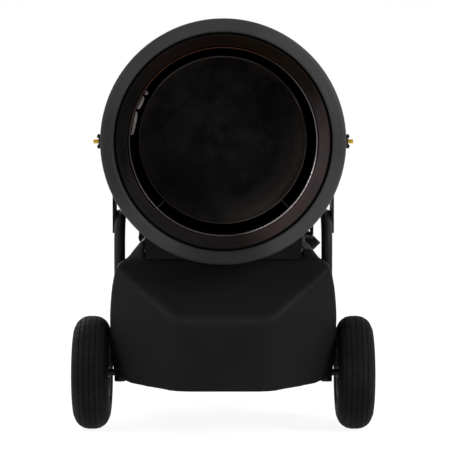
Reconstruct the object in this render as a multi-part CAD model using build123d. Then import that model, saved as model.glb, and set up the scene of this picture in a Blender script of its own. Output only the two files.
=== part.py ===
from build123d import *
from math import atan2, cos, pi, radians, sin, sqrt, tan
import os

# Radiant oil heater on two wheels. X is right, Y runs to the rear, Z is up; the heat disc faces -Y.
# All sizes are in millimetres.

# ---- driving dimensions ----
FRONT_Y = -520  # front of the bell
REAR_Y = 520  # rear of the handle
HEAD_Z = 661  # height of the head's axis and of its tilt axis
PIVOT_Y = -260  # tilt axis, front to rear
BELL_R = 271
DRUM_R = 236
CHAMBER_R = 209
DISC_R = 189.5
DISC_SHIFT = (-1, 3.8)  # the disc hangs a little off centre on its pins, X and Z

TUBE_R = 12.7
TUBE_WALL = 2
TUBE_X = 238  # side frame centre line
UPRIGHT_Y = -330
RAIL_Z = 490  # upper rail
LOWER_RAIL_Z = 165
RAIL_BEND = 70
STAND_Y = 370
BRACE_R = 11  # lower rails
LADDER_R = 10.5  # cross tubes between the side frames
POST_R = 9
WELD_ROOT = 1  # a welded tube's end starts this far inside the other tube's wall

WHEEL_R = 130
WHEEL_W = 85
WHEEL_X = 301.5
AXLE_R = 8
AXLE_Z = WHEEL_R
RUNNING_GAP = 0.05  # pin in hole, on the radius

TANK_FRONT_Y = -505
TANK_REAR_Y = 85
TANK_BOTTOM_Z = 110
TANK_TOP_Z = 393
TANK_CREASE_Z = 264
TANK_HALF_W = 256  # ahead of the tubes
TANK_REAR_HALF_W = 221  # between the tubes
TANK_WALL = 5
SHOULDER_IN_X = 180
SHOULDER_FRONT_Y = -368
SHOULDER_REAR_Y = 60
SHOULDER_RISE = 24  # right shoulder, ahead of the filler
FILLER_RISE = 41  # the filler stands on a slope of 45 degrees
FILLER_IN_X = 100
FILLER_FRONT_Y = -60

SHIELD_HALF_W = 178
SHIELD_FRONT_Y = -378
SHIELD_REAR_Y = -70
SADDLE_R = 262

CASING_HALF_W = 155
CASING_Z = (545, 770)
CASING_REAR_Y = 185
DRUM_REAR_Y = -138

MOTOR_Y = -10
MOTOR_Z = 660
SCROLL_R = 85

CABINET_HALF_W = 210
CABINET_Y = (92, 165)
CABINET_Z = (398, 452)
PANEL_T = 2.5

CAP_R = 28
CAP_T = 22

SHEET = 1.5  # pressed steel sheet

parts = {}


# ---- shape helpers ----
def block(x_range, y_range, z_range):
    """Box between two opposite corners."""
    ranges = (x_range, y_range, z_range)
    middle = [(low + high) / 2 for low, high in ranges]
    size = [high - low for low, high in ranges]
    return Pos(*middle) * Box(*size)


def rod(start, end, radius):
    """Round bar from one point to another."""
    along = Vector(*end) - Vector(*start)
    bottom = (Align.CENTER, Align.CENTER, Align.MIN)
    return Plane(origin=start, z_dir=along) * Cylinder(radius, along.length, align=bottom)


def pipe(start, end, radius, bore):
    """Round bar with a bore right through."""
    return rod(start, end, radius) - rod(start, end, bore)


def spun(face, origin, axis, radial):
    """A section drawn as (distance from the axis, distance along it), turned about that axis."""
    plane = Plane(origin=origin, x_dir=radial, z_dir=Vector(*radial).cross(Vector(*axis)))
    return revolve(plane * face, Axis(origin, axis), 360)


def turned(outline, origin, axis, radial):
    """Solid of revolution from an outline of straight lines."""
    return spun(make_face(Polyline(*outline, close=True)), origin, axis, radial)


def sheet_face(points, bends, thickness):
    """Section of a bent sheet whose middle runs along points, with a bend radius at each corner."""
    sides = ([], [])
    radii = ([], [])
    last = len(points) - 1
    for index, (u, v) in enumerate(points):
        before = points[max(index - 1, 0)]
        after = points[min(index + 1, last)]
        angle_in = atan2(v - before[1], u - before[0])
        angle_out = atan2(after[1] - v, after[0] - u)
        if index == 0:
            angle_in = angle_out
        if index == last:
            angle_out = angle_in
        turn = (angle_out - angle_in + pi) % (2 * pi) - pi
        normal = angle_in + turn / 2 + pi / 2
        reach = thickness / 2 / cos(turn / 2)
        for side, direction in zip(sides, (1, -1)):
            side.append((u + direction * reach * cos(normal), v + direction * reach * sin(normal)))
        if 0 < index < last:
            bend = bends[index - 1]
            radii[0].append(bend - thickness / 2 if turn > 0 else bend + thickness / 2)
            radii[1].append(bend + thickness / 2 if turn > 0 else bend - thickness / 2)
    lines = [FilletPolyline(*side, radius=side_radii) for side, side_radii in zip(sides, radii)]
    ends = [Line(lines[0] @ end, lines[1] @ end) for end in (0, 1)]
    return make_face(lines[0] + lines[1] + ends)


def head_turned(outline, shift=(0, 0)):
    """Part turned about the head's axis; points are (radius, Y)."""
    origin = (shift[0], 0, HEAD_Z + shift[1])
    return turned(outline, origin, (0, 1, 0), (1, 0, 0))


def head_sheet(points, bends, thickness=SHEET, shift=(0, 0)):
    """Spun sheet about the head's axis; points are (radius, Y)."""
    origin = (shift[0], 0, HEAD_Z + shift[1])
    return spun(sheet_face(points, bends, thickness), origin, (0, 1, 0), (1, 0, 0))


def bent_tube(points, bends, radius=TUBE_R, wall=TUBE_WALL):
    """Tube along straight runs with rounded bends."""
    path = FilletPolyline(*points, radius=bends)
    section = Plane(origin=path @ 0, z_dir=path % 0)
    outer = sweep(section * Circle(radius), path)
    return outer - sweep(section * Circle(radius - wall), path)


def hex_bolt(under_head, direction, across_flats, head, shank_r, length):
    """Hex bolt; the head stands back from the seat and the shank runs along direction."""
    seat = Plane(origin=under_head, z_dir=direction)
    hexagon = RegularPolygon(across_flats / 2, 6, major_radius=False)
    return extrude(seat * hexagon, -head) + extrude(seat * Circle(shank_r), length)


def both_sides(shape):
    """The shape and its mirror image on the other side of the heater."""
    return [shape, mirror(shape, about=Plane.YZ)]


def group(shapes):
    """Several separate solids kept in one node."""
    solids = []
    for shape in shapes:
        solids.extend(shape.solids())
    return Compound(children=solids)


# ---- frame of bent tube ----
GRIP_R = 17
GRIP_X = (45, 150)
UPRIGHT_END_Z = 112
RISE_Y = 275  # the upper rails turn up here
RISE_SLOPE = 0.84


def on_rise(y):
    """Y and Z of a point on the slope from the upper rails up to the handle."""
    return (y, RAIL_Z + (y - RISE_Y) * RISE_SLOPE)


HANDLE_JOINT = on_rise(400)  # where the handle is pushed onto the side frames
HANDLE_BAR = on_rise(REAR_Y - GRIP_R)  # the cross bar; its grips reach the rear


def straight_tube(start, end, radius):
    """Straight length of tube."""
    return pipe(start, end, radius, radius - TUBE_WALL)


def side_frame(side):
    """Upright and upper rail in one bent tube, with the lower rail welded to it."""
    x = side * TUBE_X
    main = bent_tube(
        [
            (x, UPRIGHT_Y, UPRIGHT_END_Z),
            (x, UPRIGHT_Y, RAIL_Z),
            (x, RISE_Y, RAIL_Z),
            (x, *HANDLE_JOINT),
        ],
        [RAIL_BEND, 90],
    )
    lower = straight_tube((x, UPRIGHT_Y, LOWER_RAIL_Z), (x, STAND_Y, LOWER_RAIL_Z), BRACE_R)
    lower -= rod((x, UPRIGHT_Y, LOWER_RAIL_Z - 40), (x, UPRIGHT_Y, LOWER_RAIL_Z + 40), TUBE_R - WELD_ROOT)
    axle_hole = rod((x - 20, UPRIGHT_Y, AXLE_Z), (x + 20, UPRIGHT_Y, AXLE_Z), AXLE_R)
    return main + lower - axle_hole


parts["side_frame_left"], parts["side_frame_right"] = both_sides(side_frame(-1))

JOINT_GAP = 0.15  # between the side frames' ends and the handle's
handle_start = (-TUBE_X, HANDLE_JOINT[0] + JOINT_GAP, HANDLE_JOINT[1] + JOINT_GAP)
half_handle = bent_tube([handle_start, (-TUBE_X, *HANDLE_BAR), (0, *HANDLE_BAR)], [60])
parts["handle_bar"] = half_handle + mirror(half_handle, about=Plane.YZ)

grip = pipe((GRIP_X[0], *HANDLE_BAR), (GRIP_X[1], *HANDLE_BAR), GRIP_R, TUBE_R)
parts["handle_grips"] = group(both_sides(grip))


LOW_TUBE_Y = STAND_Y - 26  # the lower cross tube lies ahead of the stand's feet
HIGH_TUBE_Y = 228
POST_X = 185
STRAP_YS = (-250, 20)
STRAP_T = 4
STRAP_HALF_W = 20


def rear_ladder():
    """Two cross tubes between the side frames, joined by two leaning posts; every end is coped."""
    levels = ((LOW_TUBE_Y, LOWER_RAIL_Z, BRACE_R), (HIGH_TUBE_Y, RAIL_Z, TUBE_R))
    tubes = []
    roots = []
    for y, z, rail_r in levels:
        tube = straight_tube((-TUBE_X, y, z), (TUBE_X, y, z), LADDER_R)
        for rail_x in (-TUBE_X, TUBE_X):
            tube -= rod((rail_x, y - 40, z), (rail_x, y + 40, z), rail_r)
        tubes.append(tube)
        roots.append(rod((-TUBE_X, y, z), (TUBE_X, y, z), LADDER_R - WELD_ROOT))
    ladder = tubes[0] + tubes[1]
    for x in (-POST_X, POST_X):
        bottom, top = ((x, y, z) for y, z, rail_r in levels)
        ladder += straight_tube(bottom, top, POST_R) - roots[0] - roots[1]
    return ladder


def tank_strap(y):
    """Flat bar bent under the tank and up to the lower rails."""
    inner = TUBE_X - BRACE_R
    low_z = TANK_BOTTOM_Z - STRAP_T - 0.5
    width = (y - STRAP_HALF_W, y + STRAP_HALF_W)
    bar = block((-inner, inner), width, (low_z, LOWER_RAIL_Z + 10))
    return bar - block((-inner + STRAP_T, inner - STRAP_T), width, (low_z + STRAP_T, LOWER_RAIL_Z + 11))


parts["cross_members"] = group([rear_ladder()] + [tank_strap(y) for y in STRAP_YS])

STAND_X = 95
STAND_BAR_Z = 21.7


def rear_stand():
    """U-shaped tube under the rear cross tube, with a small welded shoe at each top end."""
    top_y = LOW_TUBE_Y
    top_z = LOWER_RAIL_Z - LADDER_R - 1
    ends = [(-STAND_X, top_y, top_z), (STAND_X, top_y, top_z)]
    bends = [(-STAND_X, STAND_Y, STAND_BAR_Z), (STAND_X, STAND_Y, STAND_BAR_Z)]
    stand = bent_tube([ends[0], *bends, ends[1]], [36, 36])
    for x in (-STAND_X, STAND_X):
        stand += block((x - 14, x + 14), (top_y - 14, top_y + 14), (top_z - 2, top_z + 3))
    return stand - rod((-300, top_y, LOWER_RAIL_Z), (300, top_y, LOWER_RAIL_Z), LADDER_R)


parts["rear_stand"] = rear_stand()

FOOT_X = (22, 58)


def foot(x0, x1):
    """Rubber saddle under the stand's cross bar, flat below."""
    pad = block((x0, x1), (STAND_Y - 17, STAND_Y + 17), (0, 26))
    pad = fillet(pad.edges().filter_by(Axis.Z), 5)
    return pad - rod((x0 - 1, STAND_Y, STAND_BAR_Z), (x1 + 1, STAND_Y, STAND_BAR_Z), TUBE_R)


parts["stand_feet"] = group([foot(*FOOT_X), foot(-FOOT_X[1], -FOOT_X[0])])

# ---- wheels and axle ----
HUB_HALF = 33
HUB_R = 20
BEARING_R = 17.5
RIM_R = 52
AXLE_END_X = WHEEL_X + WHEEL_W / 2  # the cap nuts reach as far out as the tyres


def wheel_turned(face, side):
    """Section turned about the axle; drawn as (radius, distance outward from the wheel's middle)."""
    return spun(face, (side * WHEEL_X, UPRIGHT_Y, AXLE_Z), (side, 0, 0), (0, 0, 1))


def wheel_ring(r_range, x_range, side):
    """Plain ring about the axle."""
    (r0, r1), (x0, x1) = r_range, x_range
    return wheel_turned(make_face(Polyline((r0, x0), (r1, x0), (r1, x1), (r0, x1), close=True)), side)


SHOULDER_X = 33
CROWN_DROP = 13
GROOVE_DEPTH = 4


def crown(x, depth=0):
    """Point of the rounded tread, as (radius, distance from the tyre's middle)."""
    return (WHEEL_R - CROWN_DROP * (x / SHOULDER_X) ** 2 - depth, x)


def tyre(side):
    """Air-filled tyre with three grooves round its tread."""
    half = WHEEL_W / 2
    shoulder_r = WHEEL_R - CROWN_DROP
    wall = ThreePointArc((RIM_R, 29), (81, half), (shoulder_r, SHOULDER_X))
    edge_row = [crown(SHOULDER_X), crown(29), crown(25), crown(20), crown(19.5, GROOVE_DEPTH)]
    middle_row = [crown(17.5, GROOVE_DEPTH), crown(17), crown(13), crown(8), crown(1.4)]
    tread = edge_row + middle_row + [crown(1, GROOVE_DEPTH)]
    tread_line = Polyline(*tread, *[(r, -x) for r, x in reversed(tread)])
    far_wall = ThreePointArc((RIM_R, -29), (81, -half), (shoulder_r, -SHOULDER_X))
    inside = ThreePointArc((RIM_R, 24), (84, 37), (117, 14))
    far_inside = ThreePointArc((RIM_R, -24), (84, -37), (117, -14))
    joins = Line((117, -14), (117, 14)) + Line((RIM_R, 24), (RIM_R, 29)) + Line((RIM_R, -24), (RIM_R, -29))
    return wheel_turned(make_face(wall + tread_line + far_wall + inside + far_inside + joins), side)


def rim(side):
    """Two pressed discs welded to a hub tube and a well ring."""
    line = [(HUB_R - 1, 3), (30, 3), (44, 22), (50.4, 24), (50.4, 36.5), (58, 37.5)]
    bends = [8, 6, 3, 3]
    sheet_t = 2.4
    discs = [wheel_turned(sheet_face(line, bends, sheet_t), side)]
    discs.append(wheel_turned(sheet_face([(r, -x) for r, x in line], bends, sheet_t), side))
    well = wheel_ring((42, 44.4), (-20, 20), side)
    hub = wheel_ring((BEARING_R, HUB_R), (-HUB_HALF, HUB_HALF), side)
    return discs[0] + discs[1] + well + hub


def bearings(side):
    """Two ball bearings, one pressed into each end of the hub tube."""
    race_t = 3
    inner_race = (AXLE_R + RUNNING_GAP, AXLE_R + race_t)
    outer_race = (BEARING_R - race_t, BEARING_R)
    cage = (inner_race[1], outer_race[0])  # the cage and balls between the races, as one ring
    pair = []
    for end in (-1, 1):
        span = sorted((end * (HUB_HALF - 11), end * HUB_HALF))
        inset_span = (span[0] + 1.5, span[1] - 1.5)
        races = wheel_ring(inner_race, span, side) + wheel_ring(outer_race, span, side)
        pair.append(races + wheel_ring(cage, inset_span, side))
    return group(pair)


for side, word in ((-1, "left"), (1, "right")):
    parts[f"tyre_{word}"] = tyre(side)
    parts[f"rim_{word}"] = rim(side)
    parts[f"bearings_{word}"] = bearings(side)

axle_half = AXLE_END_X - 1
parts["axle"] = rod((-axle_half, UPRIGHT_Y, AXLE_Z), (axle_half, UPRIGHT_Y, AXLE_Z), AXLE_R)


def axle_hardware():
    """Collar inside each wheel, washer and cap nut outside it."""
    pieces = []
    hub_in = WHEEL_X - HUB_HALF
    hub_out = WHEEL_X + HUB_HALF
    washer_out = hub_out + 2.3
    for side in (-1, 1):
        spans = ((hub_in - 5, hub_in - 0.3, 12), (hub_out + 0.3, washer_out, 14))
        for x0, x1, radius in spans:
            ring = pipe((side * x0, UPRIGHT_Y, AXLE_Z), (side * x1, UPRIGHT_Y, AXLE_Z), radius, AXLE_R)
            pieces.append(ring)
        seat = Plane(origin=(side * washer_out, UPRIGHT_Y, AXLE_Z), z_dir=(side, 0, 0))
        nut = extrude(seat * RegularPolygon(12, 6, major_radius=False), AXLE_END_X - washer_out)
        pieces.append(nut - parts["axle"])
    return group(pieces)


parts["axle_hardware"] = axle_hardware()


# ---- fuel tank ----
def tank_front_outline(inset):
    """Tank seen from the front, as (X, Z)."""
    right = [
        (108, TANK_BOTTOM_Z),
        (214, 121),
        (247, 136),
        (252, 185),
        (TANK_HALF_W, 265),
        (251, 325),
        (241, 384),
        (196, 410),
        (190, TANK_TOP_Z + 40),
    ]
    bends = [300, 100, 30, 200, 300, 300, 45, 10]
    left = [(-x, z) for x, z in reversed(right)]
    line = FilletPolyline(*(left + right), radius=bends[::-1] + bends)
    face = make_face(line + Line(line @ 1, line @ 0))
    return offset(face, amount=-inset) if inset else face


def tank_plan_outline(inset):
    """Tank seen from above, as (X, Y): swept-back front corners and a step behind the tubes."""
    bump_rear = UPRIGHT_Y - TUBE_R - 9
    right = [
        (104, TANK_FRONT_Y),
        (212, -424),
        (TANK_HALF_W, -382),
        (TANK_HALF_W, bump_rear),
        (TANK_REAR_HALF_W, bump_rear),
        (TANK_REAR_HALF_W, TANK_REAR_Y),
    ]
    bends = [90, 200, 30, 12, 1, 26]
    left = [(-x, y) for x, y in reversed(right)]
    line = FilletPolyline(*(left + right), radius=bends[::-1] + bends, close=True)
    face = make_face(line)
    return offset(face, amount=-inset) if inset else face


def tank_side_outline(inset):
    """Tank seen from the side, as (Y, Z): upright front, slope above the crease, flat top."""
    line = FilletPolyline(
        (TANK_FRONT_Y, TANK_BOTTOM_Z),
        (TANK_FRONT_Y, TANK_CREASE_Z),
        (-385, TANK_TOP_Z),
        (TANK_REAR_Y, TANK_TOP_Z),
        (TANK_REAR_Y, TANK_BOTTOM_Z),
        radius=[10, 14, 20, 20, 20],
        close=True,
    )
    face = make_face(line)
    return offset(face, amount=-inset) if inset else face


def shoulder(side, rise, lean, inner_x, y_range, inset):
    """Raised part of the tank's top; lean is how far its outer side slopes in over its rise."""
    base_x = TANK_REAR_HALF_W
    low_z = TANK_TOP_Z - 20
    top_z = TANK_TOP_Z + rise
    inner_side = [(inner_x, top_z), (inner_x, low_z)]
    outer_side = [(base_x, low_z), (base_x, TANK_TOP_Z), (base_x - lean, top_z)]
    face = make_face(Polyline(*[(side * x, z) for x, z in inner_side + outer_side], close=True))
    if inset:
        face = offset(face, amount=-inset)
    depth = y_range[1] - y_range[0] - 2 * inset
    rear = Plane(origin=(0, y_range[1] - inset, 0), x_dir=(1, 0, 0), z_dir=(0, -1, 0))
    return extrude(rear * face, depth)


def tank_form(inset):
    """The tank's outer form, or its inside when inset by the wall."""
    facing = Plane(origin=(0, 600, 0), x_dir=(1, 0, 0), z_dir=(0, -1, 0))
    front = extrude(facing * tank_front_outline(inset), 1200)
    plan = extrude(Plane(origin=(0, 0, 50)) * tank_plan_outline(inset), 500)
    sideways = Plane(origin=(-400, 0, 0), x_dir=(0, 1, 0), z_dir=(1, 0, 0))
    side = extrude(sideways * tank_side_outline(inset), 800)
    body = front & plan & side
    body += shoulder(-1, 45, 38, SHOULDER_IN_X, (SHOULDER_FRONT_Y, SHOULDER_REAR_Y), inset)
    body += shoulder(1, SHOULDER_RISE, 19, SHOULDER_IN_X, (SHOULDER_FRONT_Y, FILLER_FRONT_Y), inset)
    body += shoulder(1, FILLER_RISE, FILLER_RISE, FILLER_IN_X, (FILLER_FRONT_Y, SHOULDER_REAR_Y), inset)
    channel = 16 + inset
    return body - block((-300, 300), (UPRIGHT_Y - channel, UPRIGHT_Y + channel), (50, AXLE_Z + channel))


CAP_BASE = (202, 0, 412)  # centre of the filler on the shoulder's slope
CAP_AXIS = Vector(1, 0, 1).normalized()
FILLER_BORE = 20
FILLER_R = 23


def along_cap(distance):
    """Point on the filler's axis, measured outward from the tank's slope."""
    return Vector(*CAP_BASE) + CAP_AXIS * distance


def cap_ring(low, high, radius, bore):
    """Ring about the filler's axis."""
    start = tuple(along_cap(low))
    end = tuple(along_cap(high))
    ring = rod(start, end, radius)
    return ring - rod(start, end, bore) if bore else ring


PICKUP = (190, -100)  # X and Y of the fuel pick-up on the right shoulder
DRAIN = (0, 60)

tank = tank_form(0) - tank_form(TANK_WALL)
tank -= cap_ring(-30, 5, FILLER_R, 0)
tank -= rod((*PICKUP, 380), (*PICKUP, 430), 6)
tank -= rod((*DRAIN, 100), (*DRAIN, 130), 8)
parts["fuel_tank"] = tank

# the neck is a flanged sleeve that hangs into the tank and holds a basket strainer
NECK_LIP = 3
neck = cap_ring(-22, 14, FILLER_R, FILLER_BORE) + cap_ring(0.2, NECK_LIP, CAP_R, FILLER_BORE)
basket = cap_ring(-58, -22, FILLER_BORE, FILLER_BORE - 1.5) + cap_ring(-58, -56.5, FILLER_BORE, 0)
parts["filler_neck"] = neck + basket + cap_ring(-23, -21, FILLER_R, FILLER_BORE - 1.5)

drain_head = rod((*DRAIN, 104), (*DRAIN, 109.8), 12)
parts["drain_plug"] = drain_head + rod((*DRAIN, 109.8), (*DRAIN, 122), 8)

shoulder_top = TANK_TOP_Z + SHOULDER_RISE
pickup_x, pickup_y = PICKUP
HOSE_R = 4.5
HOSE_BORE = 3
BARB_X = 213  # the hose is pushed onto the pick-up's upright barb here
ELBOW_Z = shoulder_top + 13
BARB_TOP_Z = ELBOW_Z + 16
BARB_LENGTH = 22  # of the pump's barb
HOSE_TURN = (BARB_X, -60, 600)


def pickup_rod(z0, z1, radius):
    return rod((*PICKUP, z0), (*PICKUP, z1), radius)


# dip tube, grommet in the tank's skin, hexagon body, elbow and barb
pickup = pickup_rod(142, shoulder_top + 4, 5)
pickup += pickup_rod(shoulder_top, shoulder_top + 4, 8) + pickup_rod(shoulder_top + 3, shoulder_top + 9, 6)
pickup += pickup_rod(shoulder_top + 8, shoulder_top + 18, 7)
pickup += rod((pickup_x, pickup_y, ELBOW_Z), (BARB_X, pickup_y, ELBOW_Z), 4)
pickup += Pos(BARB_X, pickup_y, ELBOW_Z) * Sphere(4)
pickup += rod((BARB_X, pickup_y, ELBOW_Z), (BARB_X, pickup_y, BARB_TOP_Z), HOSE_BORE)
parts["pickup_tube"] = pickup - pickup_rod(140, shoulder_top + 12, 3)

# ---- tank shield: folded sheet with a saddle under the drum ----
shield_base = TANK_TOP_Z + 0.5


def shield_outline(inset):
    """Shield seen from the front, as (X, Z)."""
    half = SHIELD_HALF_W - inset
    radius = SADDLE_R + inset
    edge_z = HEAD_Z - sqrt(radius**2 - half**2)
    saddle = ThreePointArc((half, edge_z), (0, HEAD_Z - radius), (-half, edge_z))
    bottom = Polyline((-half, edge_z), (-half, shield_base), (half, shield_base), (half, edge_z))
    return make_face(bottom + saddle)


def shield_body(inset, y_range):
    plane = Plane(origin=(0, y_range[1], 0), x_dir=(1, 0, 0), z_dir=(0, -1, 0))
    return extrude(plane * shield_outline(inset), y_range[1] - y_range[0])


shield = shield_body(0, (SHIELD_FRONT_Y, SHIELD_REAR_Y))
shield -= shield_body(SHEET, (SHIELD_FRONT_Y + SHEET, SHIELD_REAR_Y + 5))
parts["tank_shield"] = shield

SHIELD_SCREW_Z = 413
shield_screws = []
for y in (-366, -220, -90):
    screw = rod((SHIELD_HALF_W, y, SHIELD_SCREW_Z), (SHIELD_HALF_W + 1.8, y, SHIELD_SCREW_Z), 4.5)
    shield_screws += both_sides(screw)
parts["shield_screws"] = group(shield_screws)

# ---- head pivots ----
PLATE_X = TUBE_X + TUBE_R
PLATE_T = 5
PIVOT_R = 5


def pivot_plate():
    """Plate welded to the outside of the frame tube, with the tilt pivot at its top."""
    outline = FilletPolyline(
        (-302, 449),
        (-240, 449),
        (-205, 474),
        (-205, 506),
        (-222, 698),
        (-302, 698),
        radius=[6, 20, 8, 12, 30, 30],
        close=True,
    )
    plane = Plane(origin=(PLATE_X, 0, 0), x_dir=(0, 1, 0), z_dir=(1, 0, 0))
    plate = extrude(plane * make_face(outline), PLATE_T)
    hole_r = PIVOT_R + RUNNING_GAP
    return plate - rod((PLATE_X - 1, PIVOT_Y, HEAD_Z), (PLATE_X + PLATE_T + 1, PIVOT_Y, HEAD_Z), hole_r)


parts["pivot_plates"] = group(both_sides(pivot_plate()))


def pivot_ring(x0, x1, radius, bore):
    return pipe((x0, PIVOT_Y, HEAD_Z), (x1, PIVOT_Y, HEAD_Z), radius, bore)


outer_face = PLATE_X + PLATE_T
washer_bore = PIVOT_R + RUNNING_GAP
washers = []
# fibre washer, steel washer and spring washer, from the plate outward
for near, far, radius in ((0, 3, 18), (3, 5, 15), (5, 8, 10)):
    washers += both_sides(pivot_ring(outer_face + near, outer_face + far, radius, washer_bore))
parts["friction_washers"] = group(washers)

PIVOT_END_X = 302
collar = rod((DRUM_R - 5, PIVOT_Y, HEAD_Z), (PLATE_X - 0.4, PIVOT_Y, HEAD_Z), 16)
pivot_bolt = collar + rod((DRUM_R - 5, PIVOT_Y, HEAD_Z), (PIVOT_END_X, PIVOT_Y, HEAD_Z), PIVOT_R)
drum_core = rod((0, -400, HEAD_Z), (0, -150, HEAD_Z), DRUM_R)
parts["pivot_bolts"] = group(both_sides(pivot_bolt - drum_core))

NUT_START_X = outer_face + 8.4


def wing_nut(side, lean):
    """Wing nut with a tall hub; lean turns its wings away from upright."""
    hub = rod((NUT_START_X, 0, 0), (283, 0, 0), 9.5) + rod((283, 0, 0), (290, 0, 0), 7.5)
    wing = [(280, 4), (284, 16), (292, 17.5), (294, 11), (289, 5)]
    other_wing = [(x, -z) for x, z in reversed(wing)]
    plane = Plane(origin=(0, 2, 0), x_dir=(1, 0, 0), z_dir=(0, -1, 0))
    wings = extrude(plane * make_face(Polyline(*wing, *other_wing, close=True)), 4)
    nut = hub + wings - rod((NUT_START_X - 5, 0, 0), (300, 0, 0), PIVOT_R + RUNNING_GAP)
    nut = Pos(0, PIVOT_Y, HEAD_Z) * (Rot(lean, 0, 0) * nut)
    return mirror(nut, about=Plane.YZ) if side < 0 else nut


parts["wing_nut_left"] = wing_nut(-1, 14)
parts["wing_nut_right"] = wing_nut(1, -22)


# ---- heater head ----
THIN = 1.2  # drum and cone sheet
BELL_MID_R = BELL_R - SHEET / 2
BELL_NECK_R = 237.2  # the bell's rear collar fits over the drum
parts["front_bell"] = head_sheet(
    [
        (241.5, -499),
        (241.8, FRONT_Y + SHEET / 2),
        (BELL_MID_R, FRONT_Y + SHEET / 2),
        (BELL_MID_R, -466),
        (BELL_NECK_R, -436.5),
        (BELL_NECK_R, -420),
    ],
    bends=[7, 9, 9, 5],
)

CONE_FRONT = (238.5, -507)  # radius and Y
CONE_REAR = (214.6, -443.5)
cone = head_sheet([CONE_FRONT, (235.5, -511.5), CONE_REAR], [1.8], THIN)
TAB_ANGLES = (45, 135, 225, 315)
tab_box = block((CONE_REAR[0] + 0.2, DRUM_R - 1.6), (-450, -428), (-8, 8))
cone_bore = head_turned([(0, FRONT_Y), (234, -508.5), CONE_REAR, (CONE_REAR[0], -400), (0, -400)])
for angle in TAB_ANGLES:
    cone += Pos(0, 0, HEAD_Z) * Rot(0, angle, 0) * tab_box - cone_bore
parts["reflector_cone"] = cone

BACK_MID_R = DRUM_R - 1.8
BACK_Y = DRUM_REAR_Y + 2
parts["drum_shell"] = pipe((0, -438, HEAD_Z), (0, DRUM_REAR_Y, HEAD_Z), DRUM_R, DRUM_R - THIN)
parts["drum_back"] = head_sheet([(BACK_MID_R, -152), (BACK_MID_R, BACK_Y), (80, BACK_Y)], [6], THIN)

chamber = head_sheet(
    [
        (212.9, -436.5),
        (212.9, -440.6),
        (CHAMBER_R, -440.6),
        (CHAMBER_R, -212),
        (185, -198),
        (62, -190),
    ],
    bends=[1.9, 1.9, 14, 40],
)
spoke = block((CHAMBER_R + 0.5, DRUM_R - 1.3), (-310, -280), (-1.5, 1.5))
for angle in TAB_ANGLES:
    chamber += Pos(0, 0, HEAD_Z) * Rot(0, angle, 0) * spoke

DISC_T = 1.8
DISC_EDGE_R = DISC_R - DISC_T / 2
disc_line = [(0, -431), (60, -431), (DISC_EDGE_R, -416), (DISC_EDGE_R, -401)]
parts["heat_disc"] = head_sheet(disc_line, [600, 9], DISC_T, DISC_SHIFT)

PIN_Y = -406
PIN_R = 2.5
PINS = 8
pins = []
disc_z = HEAD_Z + DISC_SHIFT[1]
pin_zone = rod((DISC_SHIFT[0], PIN_Y - 5, disc_z), (DISC_SHIFT[0], PIN_Y + 5, disc_z), DISC_R)
for number in range(PINS):
    angle = 2 * pi / PINS * number
    direction = Vector(cos(angle), 0, sin(angle))
    start = Vector(0, PIN_Y, HEAD_Z) + direction * (DISC_R - 8)
    end = Vector(0, PIN_Y, HEAD_Z) + direction * (CHAMBER_R + 4)
    pins.append(rod(tuple(start), tuple(end), PIN_R) - pin_zone)
    chamber -= rod(tuple(start), tuple(end), PIN_R)
parts["disc_pins"] = group(pins)
parts["combustion_chamber"] = chamber

# ---- burner: blast tube, nozzle and ignition ----
BLAST_R = 60
BLAST_WALL = 2
flange_y = (BACK_Y + THIN / 2, -131)
parts["blast_tube"] = head_turned(
    [
        (BLAST_R - BLAST_WALL, -246),
        (BLAST_R, -246),
        (BLAST_R, flange_y[0]),
        (95, flange_y[0]),
        (95, flange_y[1]),
        (BLAST_R - BLAST_WALL, flange_y[1]),
    ]
)

fit_r = BLAST_R - BLAST_WALL - 0.2  # what stands inside the blast tube reaches this far
holder = head_turned([(0, -228), (4, -228), (8, -222), (10, -216), (10, -88), (0, -88)])
for angle in (90, 210, 330):
    leg = block((8, fit_r), (-200, -190), (-1, 1))
    holder += Pos(0, 0, HEAD_Z) * Rot(0, angle, 0) * leg
parts["nozzle_holder"] = holder

swirl = head_turned([(20, -240), (fit_r, -240), (fit_r, -238), (20, -238)])
SWIRL_SLOTS = 12
swirl_slot = block((26, 50), (-242, -236), (-1.5, 1.5))
for number in range(SWIRL_SLOTS):
    swirl -= Pos(0, 0, HEAD_Z) * Rot(0, 360 / SWIRL_SLOTS * (number + 0.5), 0) * swirl_slot
parts["swirl_plate"] = swirl

ELECTRODE_X = 22
ELECTRODE_RISE = 20
electrodes = []
for side in (-1, 1):
    x = side * ELECTRODE_X
    z = HEAD_Z + ELECTRODE_RISE
    ceramic = rod((x, -226, z), (x, -100, z), 5)
    tip = rod((x, -234, z - 2), (x, -222, z), 1.2)
    spark = rod((x, -234, z - 2), (side * 4, -236, HEAD_Z + 10), 1.2)
    electrodes.append(ceramic + tip + spark)
parts["electrodes"] = group(electrodes)


# ---- fan, motor and pump behind the drum ----
def motor_rod(x0, x1, radius):
    return rod((x0, MOTOR_Y, MOTOR_Z), (x1, MOTOR_Y, MOTOR_Z), radius)


def around_motor(x_range, radius, angles, hole_r):
    """Holes parallel to the motor shaft, at one radius round it."""
    holes = []
    for angle in angles:
        y = MOTOR_Y + radius * cos(radians(angle))
        z = MOTOR_Z + radius * sin(radians(angle))
        holes.append(rod((x_range[0], y, z), (x_range[1], y, z), hole_r))
    return holes


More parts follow.
